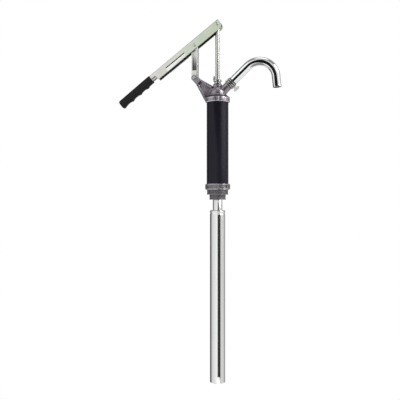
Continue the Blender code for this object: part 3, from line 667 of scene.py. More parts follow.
def thread(r, depth, pitch, z0, z1, core, segments=128, per=9, fade_top=1.2, fade_low=1.0):
    """A cut thread between z0 and z1 (z0 above z1) on a tube with the inner radius core."""
    bm = bmesh.new()
    rows = int(abs(z1 - z0) / pitch * per)
    rings = []
    for i in range(rows + 1):
        z = z0 + (z1 - z0) * i / rows
        fade = min(1.0, (z0 - z) / fade_top, 1.0)
        low = max(0.0, 1.0 - (z - z1) / fade_low)
        ring = []
        for k in range(segments):
            a = 2 * math.pi * k / segments
            phase = (z / pitch + k / segments) % 1.0
            tooth = min(1.0, max(0.0, abs(2 * phase - 1) * 1.35 - 0.17))
            plain = min(1.0, max(0.0, (z - z1 - 1.2) / 0.8))
            rr = r - depth * tooth * max(0.0, fade) * plain - 0.7 * low * low
            ring.append(bm.verts.new((rr * math.cos(a), rr * math.sin(a), z)))
        rings.append(ring)
    for z in (z1, z0):
        rings.append([bm.verts.new((core * math.cos(2 * math.pi * k / segments), core * math.sin(2 * math.pi * k / segments), z)) for k in range(segments)])
    for a, b in zip(rings, rings[1:] + rings[:1]):
        for k in range(segments):
            j = (k + 1) % segments
            bm.faces.new((a[k], a[j], b[j], b[k]))
    return bm


cap = turned(
    [
        (TUBE_R + GAP, FLANGE_TOP),
        (32.3, FLANGE_TOP),
        (FLANGE_R, 15.8),
        (FLANGE_R, 13.6),
        (31.6, 12.6),
        (31.6, 6.3),
        (FLANGE_R, 5.3),
        (FLANGE_R, 0.6),
        (32.3, 0.0),
        (17.2, 0.0),
        (17.2, 3.7),
        (TUBE_R + GAP, 3.7),
    ],
    128,
    edge=0.4,
)
lugs = []
for azimuth in LUG_AZIMUTHS:
    turn = Matrix.Rotation(math.radians(azimuth), 4, "Z")
    lugs.append(("UNION", block((-8.4, -34.9, 0.7), (8.4, -30.9, 15.6), turn, edge=0.9)))
    # a shallow core mark in each lug's face
    lugs.append(("DIFFERENCE", block((-5.4, -36.0, 4.2), (5.4, -34.4, 12.0), turn, edge=0.4)))
piece("bung_adapter", cast(combine(cap, *lugs), 0.42, 4, 0.5, 0.16, 3.0), "pump_body", CAST_CAP, ["bottom_cap"], angle=180)
piece("bung_thread_large", thread(THREAD2_R, 1.25, 2.209, 0.15, THREAD2_Z, 16.2), "pump_body", THREAD, ["bottom_cap"], angle=60)
piece("bung_thread_small", thread(THREAD15_R, 1.15, 2.209, THREAD2_Z + 0.15, THREAD15_Z, INNER_R + GAP), "pump_body", THREAD, ["bottom_cap"], angle=60)

# ======================================================================================
# suction tubes
# ======================================================================================
ii = INNER_R - INNER_WALL
piece(
    "suction_tube_inner",
    turned([(ii, -498.0), (INNER_R, -498.0), (INNER_R, -350), (INNER_R, -200), (INNER_R, -80), (INNER_R, -9.4), (ii, -9.4)], 128, edge=0.3),
    "pump_body",
    ZINC_TUBE,
    ["inner_suction_tube"],
)

oi = OUTER_R - OUTER_WALL
FOOT_TURN = 18.0


def outer_tube():
    """Rolled bead at the top, a plain wall, and two pressed dimples above the foot."""
    profile = [
        (INNER_R + 0.4, -57.6, 0),
        (INNER_R + 0.8, -56.8, 0),
        (INNER_R + 1.6, OUTER_Z1, 0),
        (17.9, OUTER_Z1 - 0.02, 0),
        (19.3, -56.7, 0),
        (20.4, -57.4, 0),
        (21.1, -58.5, 0),
        (21.4, -59.8, 0),
        (21.35, -60.8, 0),
        (21.0, -61.9, 0),
        (20.5, -62.9, 0),
        (20.15, -63.8, 0),
        (20.1, -64.6, 0),
        (20.4, -65.6, 0),
        (20.85, -66.6, 0),
        (21.05, -67.8, 0),
        (OUTER_R, -69.4, 0),
    ]
    z = -85.0
    while z > -498.0:
        profile.append((OUTER_R, z, 0))
        z -= 25.0
    z = -505.0
    while z > -530.0:
        profile.append((OUTER_R, z, 1))
        z -= 0.9
    profile += [(OUTER_R, -531.2, 1), (OUTER_R - 0.25, -531.8, 1), (OUTER_R - 0.6, OUTER_Z0, 1)]
    inner = [(oi + 0.6, OUTER_Z0, 1), (oi + 0.2, -531.8, 1), (oi, -531.2, 1)]
    z = -530.0
    while z < -505.0:
        inner.append((oi, z, 1))
        z += 0.9
    inner += [(oi, -495.0, 0), (oi, -67.2, 0), (19.0, -64.6, 0), (19.0, -60.0, 0), (INNER_R + 0.4, -58.6, 0)]
    segments = 160
    bm = bmesh.new()
    rings = []
    for r, z, dimpled in profile + inner:
        ring = []
        for k in range(segments):
            a = 2 * math.pi * k / segments
            rr = r
            if dimpled:
                for centre in (0.0, math.pi):
                    d = math.atan2(math.sin(a - centre), math.cos(a - centre)) * OUTER_R
                    q = (d / 3.4) ** 2 + ((z + 517.0) / 4.2) ** 2
                    rr -= 1.15 * math.exp(-q * q)
            ring.append(bm.verts.new((rr * math.cos(a), rr * math.sin(a), z)))
        rings.append(ring)
    for a, b in zip(rings, rings[1:] + rings[:1]):
        for k in range(segments):
            j = (k + 1) % segments
            bm.faces.new((a[k], a[j], b[j], b[k]))
    bmesh.ops.recalc_face_normals(bm, faces=bm.faces)
    return bm


notch = prism(
    [(-5.3, OUTER_Z0 - 5), (5.3, OUTER_Z0 - 5)] + arc(0, OUTER_Z0 + 13.2, 5.3, 0, 180, 24),
    -30,
    30,
    Matrix.Rotation(math.radians(FOOT_TURN), 4, "Z"),
)
piece("suction_tube_outer", combine(outer_tube(), ("DIFFERENCE", notch)), "suction_extension", ZINC_TUBE, ["outer_suction_tube"], angle=40)

# ======================================================================================
# head casting
# ======================================================================================
dome = [
    (DOME_R * math.cos(a), DOME_Z + DOME_R * math.sin(a))
    for a in [math.radians(58.0 * k / 16) for k in range(17)]
]
head = turned(
    [
        (0, 241.3),
        (32.9, 241.3),
        (33.7, 242.4),
        (RIM_R + 0.1, 245.5),
        (RIM_R + 0.1, 252.6),
        (33.4, 255.6),
        (32.0, 257.2),
        (28.0, 257.5),
        (27.2, 258.4),
        (26.6, 261.8),
        (24.6, 262.6),
    ]
    + dome
    + [(13.3, 285.2), (13.4, 288.6), (12.6, 289.8), (0, 289.8)],
    128,
    edge=0.3,
)
web = prism(
    [
        (-57.0, 310.5), (-52.0, 309.0), (-15.0, 288.4), (-12.4, 285.4), (-16.4, 277.6), (-19.6, 272.4),
        (-21.4, 267.0), (-21.6, 262.0), (-24.8, 258.0), (-31.6, 252.0), (-31.8, 246.5), (-34.8, 249.0), (-60.0, 299.0),
    ],
    -3.1, 3.1,
)
rib_top = prism([(-53.0, 304.8), (-51.0, 310.0), (-15.4, 289.1), (-12.4, 286.0), (-16.5, 281.6)], -6.4, 6.4)
rib_low = prism([(-64.2, 301.0), (-35.4, 246.8), (-31.8, 245.3), (-31.9, 252.8), (-55.0, 300.8)], -6.4, 6.4)
hub = prism(
    hull(arc(PIN_F[0], PIN_F[1], 8.9, 0, 354, 59) + [(-47.0, 307.6), (-45.6, 303.8), (-56.7, 289.6)]), -12.1, 12.1
)
boss = turned(
    [(0, 16.0), (BOSS_R + 1.0, 16.0), (BOSS_R + 0.5, 24.0), (BOSS_R + 0.1, 30.0), (BOSS_R + 0.1, 39.8), (BOSS_R + 0.9, 40.7), (BOSS_R + 0.9, BOSS_END + 0.1), (0, BOSS_END + 0.1)],
    96, OUT_MATRIX, edge=0.25,
)
spin13 = Matrix.Rotation(math.radians(13), 4, "Z")
cavity = turned(
    [(0, 238.0), (TUBE_R + GAP, 238.0), (TUBE_R + GAP, 255.3), (27.6, 255.3), (CAVITY_R, 258.5)]
    + [(CAVITY_R * math.cos(a), DOME_Z + CAVITY_R * math.sin(a)) for a in [math.radians(56.2 * k / 9) for k in range(10)]]
    + [(11.0, 275.0), (0, 275.0)],
    96, edge=0,
)
gland_bore = turned([(0, 272.0), (ROD_R + GAP, 272.0), (ROD_R + GAP, 278.0), (8.6, 278.0), (8.6, 293.0), (0, 293.0)], 64, edge=0)
outlet_bore = turned([(0, 18.5), (6.5, 18.5), (6.5, 37.0), (9.5, 37.0), (9.5, 46.0), (0, 46.0)], 64, OUT_MATRIX, edge=0)
slot_cut = prism(
    arc(PIN_F[0], PIN_F[1], 10.2, -100, 60, 28) + [(-58.0, 332.0), (-90.0, 332.0), (-90.0, 296.0)],
    -(LINK_HALF + 0.35), LINK_HALF + 0.35,
)
fulcrum_bore = turned([(0, -20), (HOLE_R, -20), (HOLE_R, 20), (0, 20)], 48, along_y(*PIN_F), edge=0)
# a gate stub on the rim; the mould's parting fin is made and then freed unused
fin = prism(
    arc(0, 0, 34.25, 0, 360, 119)[:-1], 248.3, 249.1, axis="Z"
)
head = combine(
    head,
    ("UNION", web),
    ("UNION", rib_top),
    ("UNION", rib_low),
    ("UNION", hub),
    ("UNION", boss),
    ("UNION", block((-2.3, -35.3, 243.3), (2.3, -32.0, 255.2), spin13, edge=0.5)),
    ("DIFFERENCE", cavity),
    ("DIFFERENCE", gland_bore),
    ("DIFFERENCE", outlet_bore),
    ("DIFFERENCE", slot_cut),
    ("DIFFERENCE", fulcrum_bore),
)
fin.free()
piece("head", cast(head, 0.58, 7, 0.5, 0.2, 11.0), "pump_body", CAST, ["head_casting"], angle=180)

# gland ---------------------------------------------------------------------------------
gland = turned(
    [
        (ROD_R + GAP, 289.4), (9.9, 289.4), (9.9, 293.4), (9.0, 294.2), (8.8, 297.6),
        (10.4, 298.8), (11.6, 299.6), (11.6, 302.6), (10.8, 303.4), (ROD_R + GAP, 303.4),
    ],
    96,
)
hex_nut = combine(
    prism(hexagon(20.4, 13.0), 290.0, 293.6, edge=0.25, axis="Z"),
    ("DIFFERENCE", turned([(0, 280), (ROD_R + GAP, 280), (ROD_R + GAP, 310), (0, 310)], 64, edge=0)),
)
chamfer = turned([(10.3, 293.4), (14.0, 291.6), (14.0, 296.4), (12.6, 296.4)], 96, edge=0)
hex_nut = combine(hex_nut, ("DIFFERENCE", chamfer), ("UNION", gland))
piece("gland_nut_top", hex_nut, "pump_body", ZINC_NUT, ["gland_nut"], angle=30)
tab = combine(
    turned([(ROD_R + 0.4, 303.7), (10.4, 303.7), (10.4, 304.9), (ROD_R + 0.4, 304.9)], 96, edge=0.2),
    ("UNION", prism(rounded([(-12.3, 303.8), (-7.4, 303.8), (-7.4, 314.4), (-8.4, 315.9), (-11.3, 315.9), (-12.3, 314.4)], 0.8), -0.9, 0.9, edge=0.2)),
)
piece("gland_tab", tab, "pump_body", ZINC_NUT, ["gland_tab_washer"], angle=30)

# ======================================================================================
# rod
# ======================================================================================
rod = turned(
    [(0, 206.0), (3.4, 206.0), (4.0, 206.6), (4.0, 236.3), (ROD_R, 236.3), (ROD_R, 300), (ROD_R, 360), (ROD_R, 420), (ROD_R, 452.0), (5.6, 456.0), (0, 459.0)],
    96, edge=0.3,
)
eye = turned([(0, -9.2), (5.6, -9.2), (6.1, -8.7), (6.1, 8.7), (5.6, 9.2), (0, 9.2)], 64, along_y(*PIN_R), edge=0.2)
bore = turned([(0, -20), (HOLE_R, -20), (HOLE_R, 20), (0, 20)], 48, along_y(*PIN_R), edge=0)
piece("rod_bar", combine(rod, ("UNION", eye), ("DIFFERENCE", bore)), "rod", ZINC_ROD, ["piston_rod"], angle=32)

# ======================================================================================
# handle
# ======================================================================================


def channel_section(half, top, bottom, t, outer_r, steps=10):
    inner_r = max(outer_r - t, 0.6)
    return (
        [(-half, bottom + 0.3), (-half, (bottom + top) / 2)]
        + arc(-half + outer_r, top - outer_r, outer_r, 180, 90, steps)
        + arc(half - outer_r, top - outer_r, outer_r, 90, 0, steps)
        + [(half, (bottom + top) / 2), (half, bottom + 0.3), (half - 0.3, bottom), (half - t + 0.3, bottom), (half - t, bottom + 0.3)]
        + arc(half - t - inner_r, top - t - inner_r, inner_r, 0, 90, steps - 3)
        + arc(-half + t + inner_r, top - t - inner_r, inner_r, 90, 180, steps - 3)
        + [(-half + t, bottom + 0.3), (-half + t - 0.3, bottom), (-half + 0.3, bottom)]
    )


def along_handle(section, s0, s1, edge=0.0):
    return prism(section, s0, s1, HM, edge, 2, axis="X")


channel = along_handle(channel_section(HALF, TOP, BOTTOM, SHEET, 4.2), CHANNEL_S0, CHANNEL_S1)
steps = [
    (
        "DIFFERENCE",
        prism([(-20, -30), (-20, -2.2), (-9.8, -2.2)] + arc(4.5, -2.2, 14.1, 180, 270, 24)[1:] + [(4.5, -30)], -20, 20, HM),
    ),
    (
        "DIFFERENCE",
        prism([(222.5, -30), (222.5, -4.6)] + arc(224.9, -4.6, 2.4, 180, 90, 8)[1:] + [(242, -2.2), (242, -30)], -20, 20, HM),
    ),
]
for side in (-1, 1):
    y0, y1 = sorted((side * (HALF - 1.2), side * (HALF + 1.45)))
    pad = prism(
        rounded([(118.0, -16.6), (118.0, -7.8), (120.0, -6.9), (186.0, -6.9), (188.0, -8.0), (188.0, -16.6)], 1.2, 5),
        y0, y1, HM, edge=0.5,
    )
    steps.append(("UNION", pad))
    y0, y1 = sorted((side * (HALF - 5), side * (HALF + 5)))
    steps.append(("DIFFERENCE", prism([(119.5, -6.9), (119.5, -3.7), (186.5, -3.7), (186.5, -6.9)], y0, y1, HM)))
tang = along_handle(channel_section(6.6, 7.6, -7.4, 2.5, 3.0, 6), 223.5, 344.0)
steps.append(("UNION", tang))
for x, z in (PIN_R, PIN_L):
    steps.append(("DIFFERENCE", turned([(0, -20), (HOLE_R, -20), (HOLE_R, 20), (0, 20)], 48, along_y(x, z), edge=0)))
lever_mesh = combine(channel, *steps)
bmesh.ops.bisect_plane(
    lever_mesh,
    geom=lever_mesh.verts[:] + lever_mesh.edges[:] + lever_mesh.faces[:],
    dist=1e-4,
    plane_co=HM @ Vector((12.0, 0, 0)),
    plane_no=HM.to_3x3() @ Vector((1, 0, 0)),
)
lever = piece("handle_lever", lever_mesh, "handle", ZINC_SHEET, ["handle_channel"], angle=28)
lever.data.materials.append(CHANNEL_SHADE)
lever.data.materials.append(PAD_HIGHLIGHT)
inverse = HM.inverted()
# the channel's inner faces and the slit's cut edges take the near-black painted shade
for face in lever.data.polygons:
    q = inverse @ (face.center / MM)
    if abs(q.y) < HALF - SHEET + 0.08 and q.z < TOP - SHEET + 0.05 and 12.0 < q.x < 223.0:
        face.material_index = 1
    elif HALF - SHEET < abs(q.y) < HALF + 1.0 and abs(q.z + 5.3) < 1.75 and 119.0 < q.x < 187.0 and abs(face.normal.y) < 0.5:
        face.material_index = 1
    # the pads' outer faces take the brighter painted-highlight copy of the zinc
    elif abs(q.y) > HALF + 0.2 and q.z < -6.5:
        face.material_index = 2


# grip ----------------------------------------------------------------------------------
def grip_bottom(s):
    along = (s - GRIP_S0) / (GRIP_S1 - GRIP_S0)
    bump = max(math.exp(-(((s - c) / 5.4) ** 2)) for c in (262.5, 289.5, 318.5))
    end = math.exp(-(((s - 351.0) / 8.5) ** 2))
    return -11.6 - 1.4 * along * along - 2.9 * bump - 2.7 * end


def grip_ring(s, sides):
    top = 12.2 - 1.8 * (s - GRIP_S0) / (GRIP_S1 - GRIP_S0)
    low = grip_bottom(s)
    near0 = min(1.0, 0.88 + 0.12 * math.sqrt(max(0.0, min(1.0, (s - GRIP_S0) / 2.2))))
    near1 = min(1.0, 0.78 + 0.22 * math.sqrt(max(0.0, min(1.0, (GRIP_S1 - s) / 4.0))))
    k = min(near0, near1)
    mid, half_t, half_y = (top + low) / 2, (top - low) / 2 * k, 12.15 * k
    ring = []
    for i in range(sides):
        a = 2 * math.pi * i / sides
        c, sn = math.cos(a), math.sin(a)
        e = 0.80
        ring.append((s, half_y * math.copysign(abs(c) ** e, c), mid + half_t * math.copysign(abs(sn) ** e, sn)))
    return ring


bm = bmesh.new()
SIDES = 72
stations = [GRIP_S0 + 0.02 * k * k for k in range(11)]
s = GRIP_S0 + 2.9
while s < GRIP_S1 - 4.4:
    stations.append(s)
    s += 0.9
stations += [GRIP_S1 - 4.0 + 4.0 * math.sin(math.radians(7.5 * k)) for k in range(13)]
rings = [[bm.verts.new(p) for p in grip_ring(s, SIDES)] for s in stations]
for a, b in zip(rings, rings[1:]):
    for i in range(SIDES):
        j = (i + 1) % SIDES
        bm.faces.new((a[i], a[j], b[j], b[i]))
# a recessed mouth round the tang, and a closed end
mouth = [bm.verts.new((GRIP_S0 + 0.1, y * 0.72, t * 0.72)) for _, y, t in [v.co for v in rings[0]]]
deep = [bm.verts.new((GRIP_S0 + 3.0, v.co.y, v.co.z)) for v in mouth]
for a, b in ((mouth, rings[0]), (deep, mouth)):
    for i in range(SIDES):
        j = (i + 1) % SIDES
        bm.faces.new((a[i], a[j], b[j], b[i]))
bm.faces.new(deep)
end = rings[-1]
for scale, ds in ((0.9, 0.12), (0.6, 0.2), (0.3, 0.25)):
    centre = Vector((GRIP_S1, 0, sum(v.co.z for v in rings[-1]) / SIDES))
    ring = [bm.verts.new((GRIP_S1 - 0.0, v.co.y * scale, centre.z + (v.co.z - centre.z) * scale)) for v in rings[-1]]
    for i in range(SIDES):
        j = (i + 1) % SIDES
        bm.faces.new((end[i], end[j], ring[j], ring[i]))
    end = ring
bm.faces.new(end)
bmesh.ops.recalc_face_normals(bm, faces=bm.faces)
bm.normal_update()
# moulded texture: rows of low ribs round the grip's sides
for v in bm.verts:
    s_, y_, t_ = v.co
    if GRIP_S0 + 6 < s_ < GRIP_S1 - 7 and abs(y_) > 5.0:
        fade = min(1.0, (s_ - GRIP_S0 - 6) / 4, (GRIP_S1 - 7 - s_) / 4, (abs(y_) - 5.0) / 3.5)
        v.co -= v.normal * 0.22 * fade * (0.5 + 0.5 * math.cos(2 * math.pi * s_ / 3.6))
bm.transform(HM)
piece("grip_sleeve", bm, "handle", VINYL, ["handle_grip"], angle=55)

# pins and rivets -----------------------------------------------------------------------
piece(
    "lever_pin",
    turned(
        [(0, -11.0), (1.6, -11.0), (1.7, -13.5), (2.3, -13.9), (4.2, -13.7), (4.9, -13.2), (5.0, -12.3), (PIN_DIA_R, -12.3), (PIN_DIA_R, 15.0), (2.6, 15.5), (0, 15.5)],
        56, along_y(*PIN_R), edge=0.25,
    ),
    "handle", PIN_ZINC, ["handle_pin"],
)
piece("lever_pin_ring", turned([(PIN_DIA_R + GAP, 12.4), (6.0, 12.4), (6.0, 13.5), (PIN_DIA_R + GAP, 13.5)], 56, along_y(*PIN_R), edge=0.25), "handle", STEEL, ["handle_pin_clip"])
for name, node, sign in (("rivet_near", "link_rivet_front", -1), ("rivet_far", "link_rivet_back", 1)):
    chain = [(0, 8.7), (PIN_DIA_R, 8.7), (PIN_DIA_R, 12.25), (4.7, 12.25), (4.5, 12.8), (3.0, 13.4), (0, 13.5)]
    piece(name, turned([(r, sign * z) for r, z in chain], 48, along_y(*PIN_L), edge=0.35), "handle", PIN_ZINC, [node])

# link ----------------------------------------------------------------------------------
link = prism(
    hull(
        arc(PIN_L[0], PIN_L[1], LINK_TOP_R, 0, 354, 59)
        + [(PIN_L[0] - LINK_R, 396.5), (PIN_L[0] + LINK_R, 396.5)]
        + arc(PIN_F[0], PIN_F[1], LINK_R, 0, 354, 59)
    ),
    -LINK_HALF,
    LINK_HALF,
    edge=0.7,
    segments=3,
)
cuts = []
for side in (-1, 1):
    y0, y1 = sorted((side * 3.0, side * 12.0))
    cuts.append(
        (
            "DIFFERENCE",
            prism(
                rounded([(PIN_F[0] - 5.8, 332.0), (PIN_F[0] + 5.8, 332.0), (PIN_F[0] + 5.0, 390.0), (PIN_F[0] - 5.0, 390.0)], 2.4, 6),
                y0, y1,
            ),
        )
    )
for x, z in (PIN_F, PIN_L):
    cuts.append(("DIFFERENCE", turned([(0, -20), (HOLE_R, -20), (HOLE_R, 20), (0, 20)], 48, along_y(x, z), edge=0)))
# painted shade in the link's side recesses
painted_shade_panel(ZINC_LINK, -0.064, 0.0063, 0.386, 0.340, 0.3315, (0.16, 0.16, 0.17))
piece("link_bar", combine(link, *cuts), "link", ZINC_LINK, ["fulcrum_link"], angle=30)
piece(
    "fulcrum_bolt",
    turned(
        [(0, -14.4), (3.6, -14.2), (5.0, -13.4), (5.0, -12.35), (PIN_DIA_R, -12.35), (PIN_DIA_R, 15.0), (2.6, 15.5), (0, 15.5)],
        56, along_y(*PIN_F), edge=0.3,
    ),
    "pump_body", STEEL, ["fulcrum_pin"],
)
piece("fulcrum_ring", turned([(PIN_DIA_R + GAP, 12.4), (6.0, 12.4), (6.0, 13.5), (PIN_DIA_R + GAP, 13.5)], 56, along_y(*PIN_F), edge=0.25), "pump_body", STEEL, ["fulcrum_pin_clip"])

# ======================================================================================
# outlet socket, lock screw and spout
# ======================================================================================
# a flange against the casting, then rings parted by deep grooves
chain = [
    (6.5, 37.3), (9.2, 37.3), (9.2, BOSS_END + GAP), (12.9, BOSS_END + GAP), (12.9, 44.3),
    (SOCKET_R + 0.6, 44.4), (SOCKET_R + 1.0, 44.8), (SOCKET_R + 1.0, 46.3), (SOCKET_R + 0.5, 46.7),
    (12.9, 46.8), (12.9, 48.7), (SOCKET_R, 48.9), (SOCKET_R, 52.1),
    (12.7, 52.3), (12.7, 54.6), (SOCKET_R - 0.2, 54.8), (SOCKET_R - 0.4, 57.9),
    (12.6, 58.1), (12.6, 60.1), (13.4, 60.2), (13.4, SOCKET_END + 0.5),
    (SPOUT_R + GAP, SOCKET_END + 0.5), (SPOUT_R + GAP, 44.6), (6.5, 44.6),
]
SCREW_S = 52.0
screw_matrix = OUT_MATRIX @ Matrix.Translation((0, 0, SCREW_S)) @ Matrix.Rotation(math.radians(90), 4, "Y")
socket = combine(
    turned(chain, 96, OUT_MATRIX, edge=0.25, steps=2),
    ("DIFFERENCE", turned([(0, 9.0), (2.8, 9.0), (2.8, 22.0), (0, 22.0)], 40, screw_matrix, edge=0)),
)
socket_piece = piece("outlet_socket", socket, "pump_body", ZINC_SOCKET, ["spout_socket"], angle=40)
socket_piece.data.materials.append(GROOVE_SHADE)
inverse = OUT_MATRIX.inverted()
# faces inside the rings' outer radius, the groove bottoms and the bore, take the near-black painted shade
for face in socket_piece.data.polygons:
    q = inverse @ (face.center / MM)
    if math.hypot(q.x, q.y) < 13.6 and q.z < SOCKET_END - 0.2:
        face.material_index = 1

shank = [(0, 12.0), (2.0, 12.0)]
z = 12.4
while z < 15.0:
    shank += [(2.5, z), (2.1, z + 0.4)]
    z += 0.8
shank += [(2.5, 15.3), (4.2, 15.6), (4.2, 18.0), (3.0, 20.0), (0, 20.0)]
wing = []
for k in range(64):
    a = 2 * math.pi * k / 64
    wing.append((8.2 * math.sin(a) * (1.0 + 0.18 * abs(math.sin(a))), 21.9 + 5.0 * math.cos(a) + 1.2 * abs(math.sin(a))))
screw = combine(turned(shank, 48, screw_matrix, edge=0.12, steps=2), ("UNION", prism(wing, -1.5, 1.5, screw_matrix, edge=0.7, segments=3)))
piece("lock_screw_wing", screw, "lock_screw", WING, ["spout_thumb_screw"], angle=32)


def spout():
    start = OUT_MATRIX @ Vector((0, 0, SPOUT_START))
    pts = []
    cx, cz = SPOUT_APEX[0], SPOUT_APEX[1] - SPOUT_BEND_R
    h = OUT
    bend0 = Vector((cx - SPOUT_BEND_R * math.sin(h), 0, cz + SPOUT_BEND_R * math.cos(h)))
    for k in range(12):
        p = start.lerp(bend0, k / 12)
        pts.append((p.x, p.z, OUT_ANGLE))
    steps_ = 72
    for k in range(steps_ + 1):
        heading = OUT_ANGLE - (OUT_ANGLE - SPOUT_TAIL) * k / steps_
        h = math.radians(heading)
        pts.append((cx - SPOUT_BEND_R * math.sin(h), cz + SPOUT_BEND_R * math.cos(h), heading))
    x_bend, z_bend = pts[-1][0], pts[-1][1]
    tail = math.radians(SPOUT_TAIL)
    length = (SPOUT_END_Z - z_bend) / math.sin(tail)
    for k in range(1, 7):
        pts.append((x_bend + math.cos(tail) * length * k / 6, z_bend + math.sin(tail) * length * k / 6, SPOUT_TAIL))
    x_end = pts[-1][0]
    sides = 96
    bm = bmesh.new()
    rings = []

    def ring(x, z, heading, r):
        h = math.radians(heading)
        normal = Vector((-math.sin(h), 0, math.cos(h)))
        return [
            bm.verts.new(Vector((x, 0, z)) + normal * (r * math.cos(2 * math.pi * i / sides)) + Vector((0, r * math.sin(2 * math.pi * i / sides), 0)))
            for i in range(sides)
        ]

    def end_ring(back, r):
        return ring(x_end - math.cos(tail) * back, SPOUT_END_Z - math.sin(tail) * back, SPOUT_TAIL, r)

    rings.append(ring(pts[0][0], pts[0][1], OUT_ANGLE, SPOUT_R - 0.5))
    for x, z, heading in pts[:-1]:
        rings.append(ring(x, z, heading, SPOUT_R))
    rings.append(end_ring(0.5, SPOUT_R))
    rings.append(end_ring(0.12, SPOUT_R - 0.14))
    rings.append(end_ring(0.0, SPOUT_R - 0.45))
    rings.append(end_ring(0.0, SPOUT_R - SPOUT_WALL + 0.4))
    rings.append(end_ring(0.3, SPOUT_R - SPOUT_WALL))
    for x, z, heading in pts[:-1][::-1]:
        rings.append(ring(x, z, heading, SPOUT_R - SPOUT_WALL))
    for a, b in zip(rings, rings[1:] + rings[:1]):
        for i in range(sides):
            j = (i + 1) % sides
            bm.faces.new((a[i], a[j], b[j], b[i]))
    return bm


piece("spout_pipe", spout(), "spout", CHROME, ["spout_tube"], angle=40)

# ======================================================================================
# pieces inside keep their modelled shape and take a finish
# ======================================================================================
for look, slot_name, names in (
    (RUBBER, "rubber", ("bottom_gasket", "head_gasket", "gland_packing", "spout_seal_ring", "suction_wiper_seal", "piston_cup")),
    (BRASS, "brass", ("foot_valve_seat", "foot_valve_disc", "piston_valve_disc", "suction_stop_collar")),
    (STEEL, "bright_steel", ("foot_valve_cage", "cup_retainer_plate", "piston_nut", "valve_stop_ring")),
    (ALU, "aluminium", ("piston_body",)),
):
    for name in names:
        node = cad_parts[name]
        node.data.materials.clear()
        node.data.materials.append(look)

# ======================================================================================
# floor, light, camera
# ======================================================================================
FLOOR_Z = CAD_BOX[0][2] - 0.0006
bm = bmesh.new()
bmesh.ops.create_circle(bm, cap_ends=True, radius=14.0, segments=96)
mesh = bpy.data.meshes.new("floor")
bm.to_mesh(mesh)
bm.free()
floor = bpy.data.objects.new("floor", mesh)
floor.location = (0, 0, FLOOR_Z)
SCENE.collection.objects.link(floor)
floor.visible_glossy = False
floor.visible_camera = False
m = bpy.data.materials.new("floor_paper")
m.use_nodes = True
t = m.node_tree
b = t.nodes["Principled BSDF"]
b.inputs["Base Color"].default_value = (0.86, 0.86, 0.86, 1)
b.inputs["Roughness"].default_value = 0.9
b.inputs["Specular IOR Level"].default_value = 0.0
b.inputs["Emission Color"].default_value = (1, 1, 1, 1)
b.inputs["Emission Strength"].default_value = 0.62
mesh.materials.append(m)

CAM_TURN = math.radians(13.0)
front = Vector((math.sin(CAM_TURN), -math.cos(CAM_TURN), 0))
right = Vector((math.cos(CAM_TURN), math.sin(CAM_TURN), 0))
SOFTBOX = 6.8
world = bpy.data.worlds.new("studio")
SCENE.world = world
world.use_nodes = True
t = world.node_tree
t.nodes.clear()
co = t.nodes.new("ShaderNodeTexCoord")


def dot(v):
    n = t.nodes.new("ShaderNodeVectorMath")
    n.operation = "DOT_PRODUCT"
    t.links.new(co.outputs["Generated"], n.inputs[0])
    n.inputs[1].default_value = v
    return n.outputs["Value"]


def math_node(op, a, b=0.0, clamp=False):
    n = t.nodes.new("ShaderNodeMath")
    n.operation = op
    n.use_clamp = clamp
    for socket, v in ((n.inputs[0], a), (n.inputs[1], b)):
        if isinstance(v, bpy.types.NodeSocket):
            t.links.new(v, socket)
        else:
            socket.default_value = v
    return n.outputs[0]


theta = math_node("ARCTAN2", dot(right), dot(front))
turn = math_node("ADD", math_node("MULTIPLY", theta, 1 / (2 * math.pi)), 0.5)
up = dot(Vector((0, 0, 1)))


def around(stops):
    """Brightness round the studio, by degrees to the right of the front."""
    ramp = t.nodes.new("ShaderNodeValToRGB")
    e = ramp.color_ramp.elements
    while len(e) < len(stops):
        e.new(0.5)
    for k, (angle, value) in enumerate(stops):
        e[k].position = (angle + 180) / 360
        e[k].color = (value / 8, value / 8, value / 8, 1)
    t.links.new(turn, ramp.inputs["Fac"])
    return math_node("MULTIPLY", ramp.outputs["Color"], 8.0)


def blend_up(lo, hi, below, above):
    """below under the height lo, above over hi, where height is the sine of the elevation."""
    n = t.nodes.new("ShaderNodeMapRange")
    n.interpolation_type = "SMOOTHSTEP"
    n.inputs["From Min"].default_value = lo
    n.inputs["From Max"].default_value = hi
    t.links.new(up, n.inputs["Value"])
    m_ = t.nodes.new("ShaderNodeMix")
    m_.data_type = "FLOAT"
    t.links.new(n.outputs["Result"], m_.inputs[0])
    for socket, v in ((m_.inputs[2], below), (m_.inputs[3], above)):
        if isinstance(v, bpy.types.NodeSocket):
            t.links.new(v, socket)
        else:
            socket.default_value = v
    return m_.outputs[0]


# below eye level: white paper with a dark gap; above it: the same, and a bright softbox
LOW = (
    (-180, 0.30), (-140, 0.10), (-112, 0.14), (-98, 0.72), (-60, 0.86), (-6, 1.08), (3, 0.03),
    (39, 0.03), (47, 0.76), (100, 0.74), (114, 0.42), (160, 0.38), (180, 0.30),
)
MID = (
    (-180, 0.22), (-140, 0.10), (-112, 0.16), (-98, 0.60), (-60, 0.80), (-6, 0.85), (3, 0.66),
    (35, 0.66), (43, SOFTBOX), (84, SOFTBOX), (96, 0.7), (114, 0.42), (160, 0.30), (180, 0.22),
)
HIGH = (
    (-180, 0.20), (-112, 0.24), (-98, 0.65), (-60, 0.92), (-8, 1.0), (6, 0.72),
    (36, 0.72), (44, 1.05), (84, 1.05), (96, 0.8), (130, 0.40), (180, 0.20),
)
sides = blend_up(0.100, 0.118, around(LOW), around(MID))
sides = blend_up(0.150, 0.190, sides, around(HIGH))
sides = blend_up(-0.47, -0.37, 0.95, sides)
sides = blend_up(-0.88, -0.66, 0.25, sides)
sides = blend_up(0.66, 0.78, sides, 0.28)
mixed = blend_up(0.93, 0.98, sides, 1.7)
studio = t.nodes.new("ShaderNodeBackground")
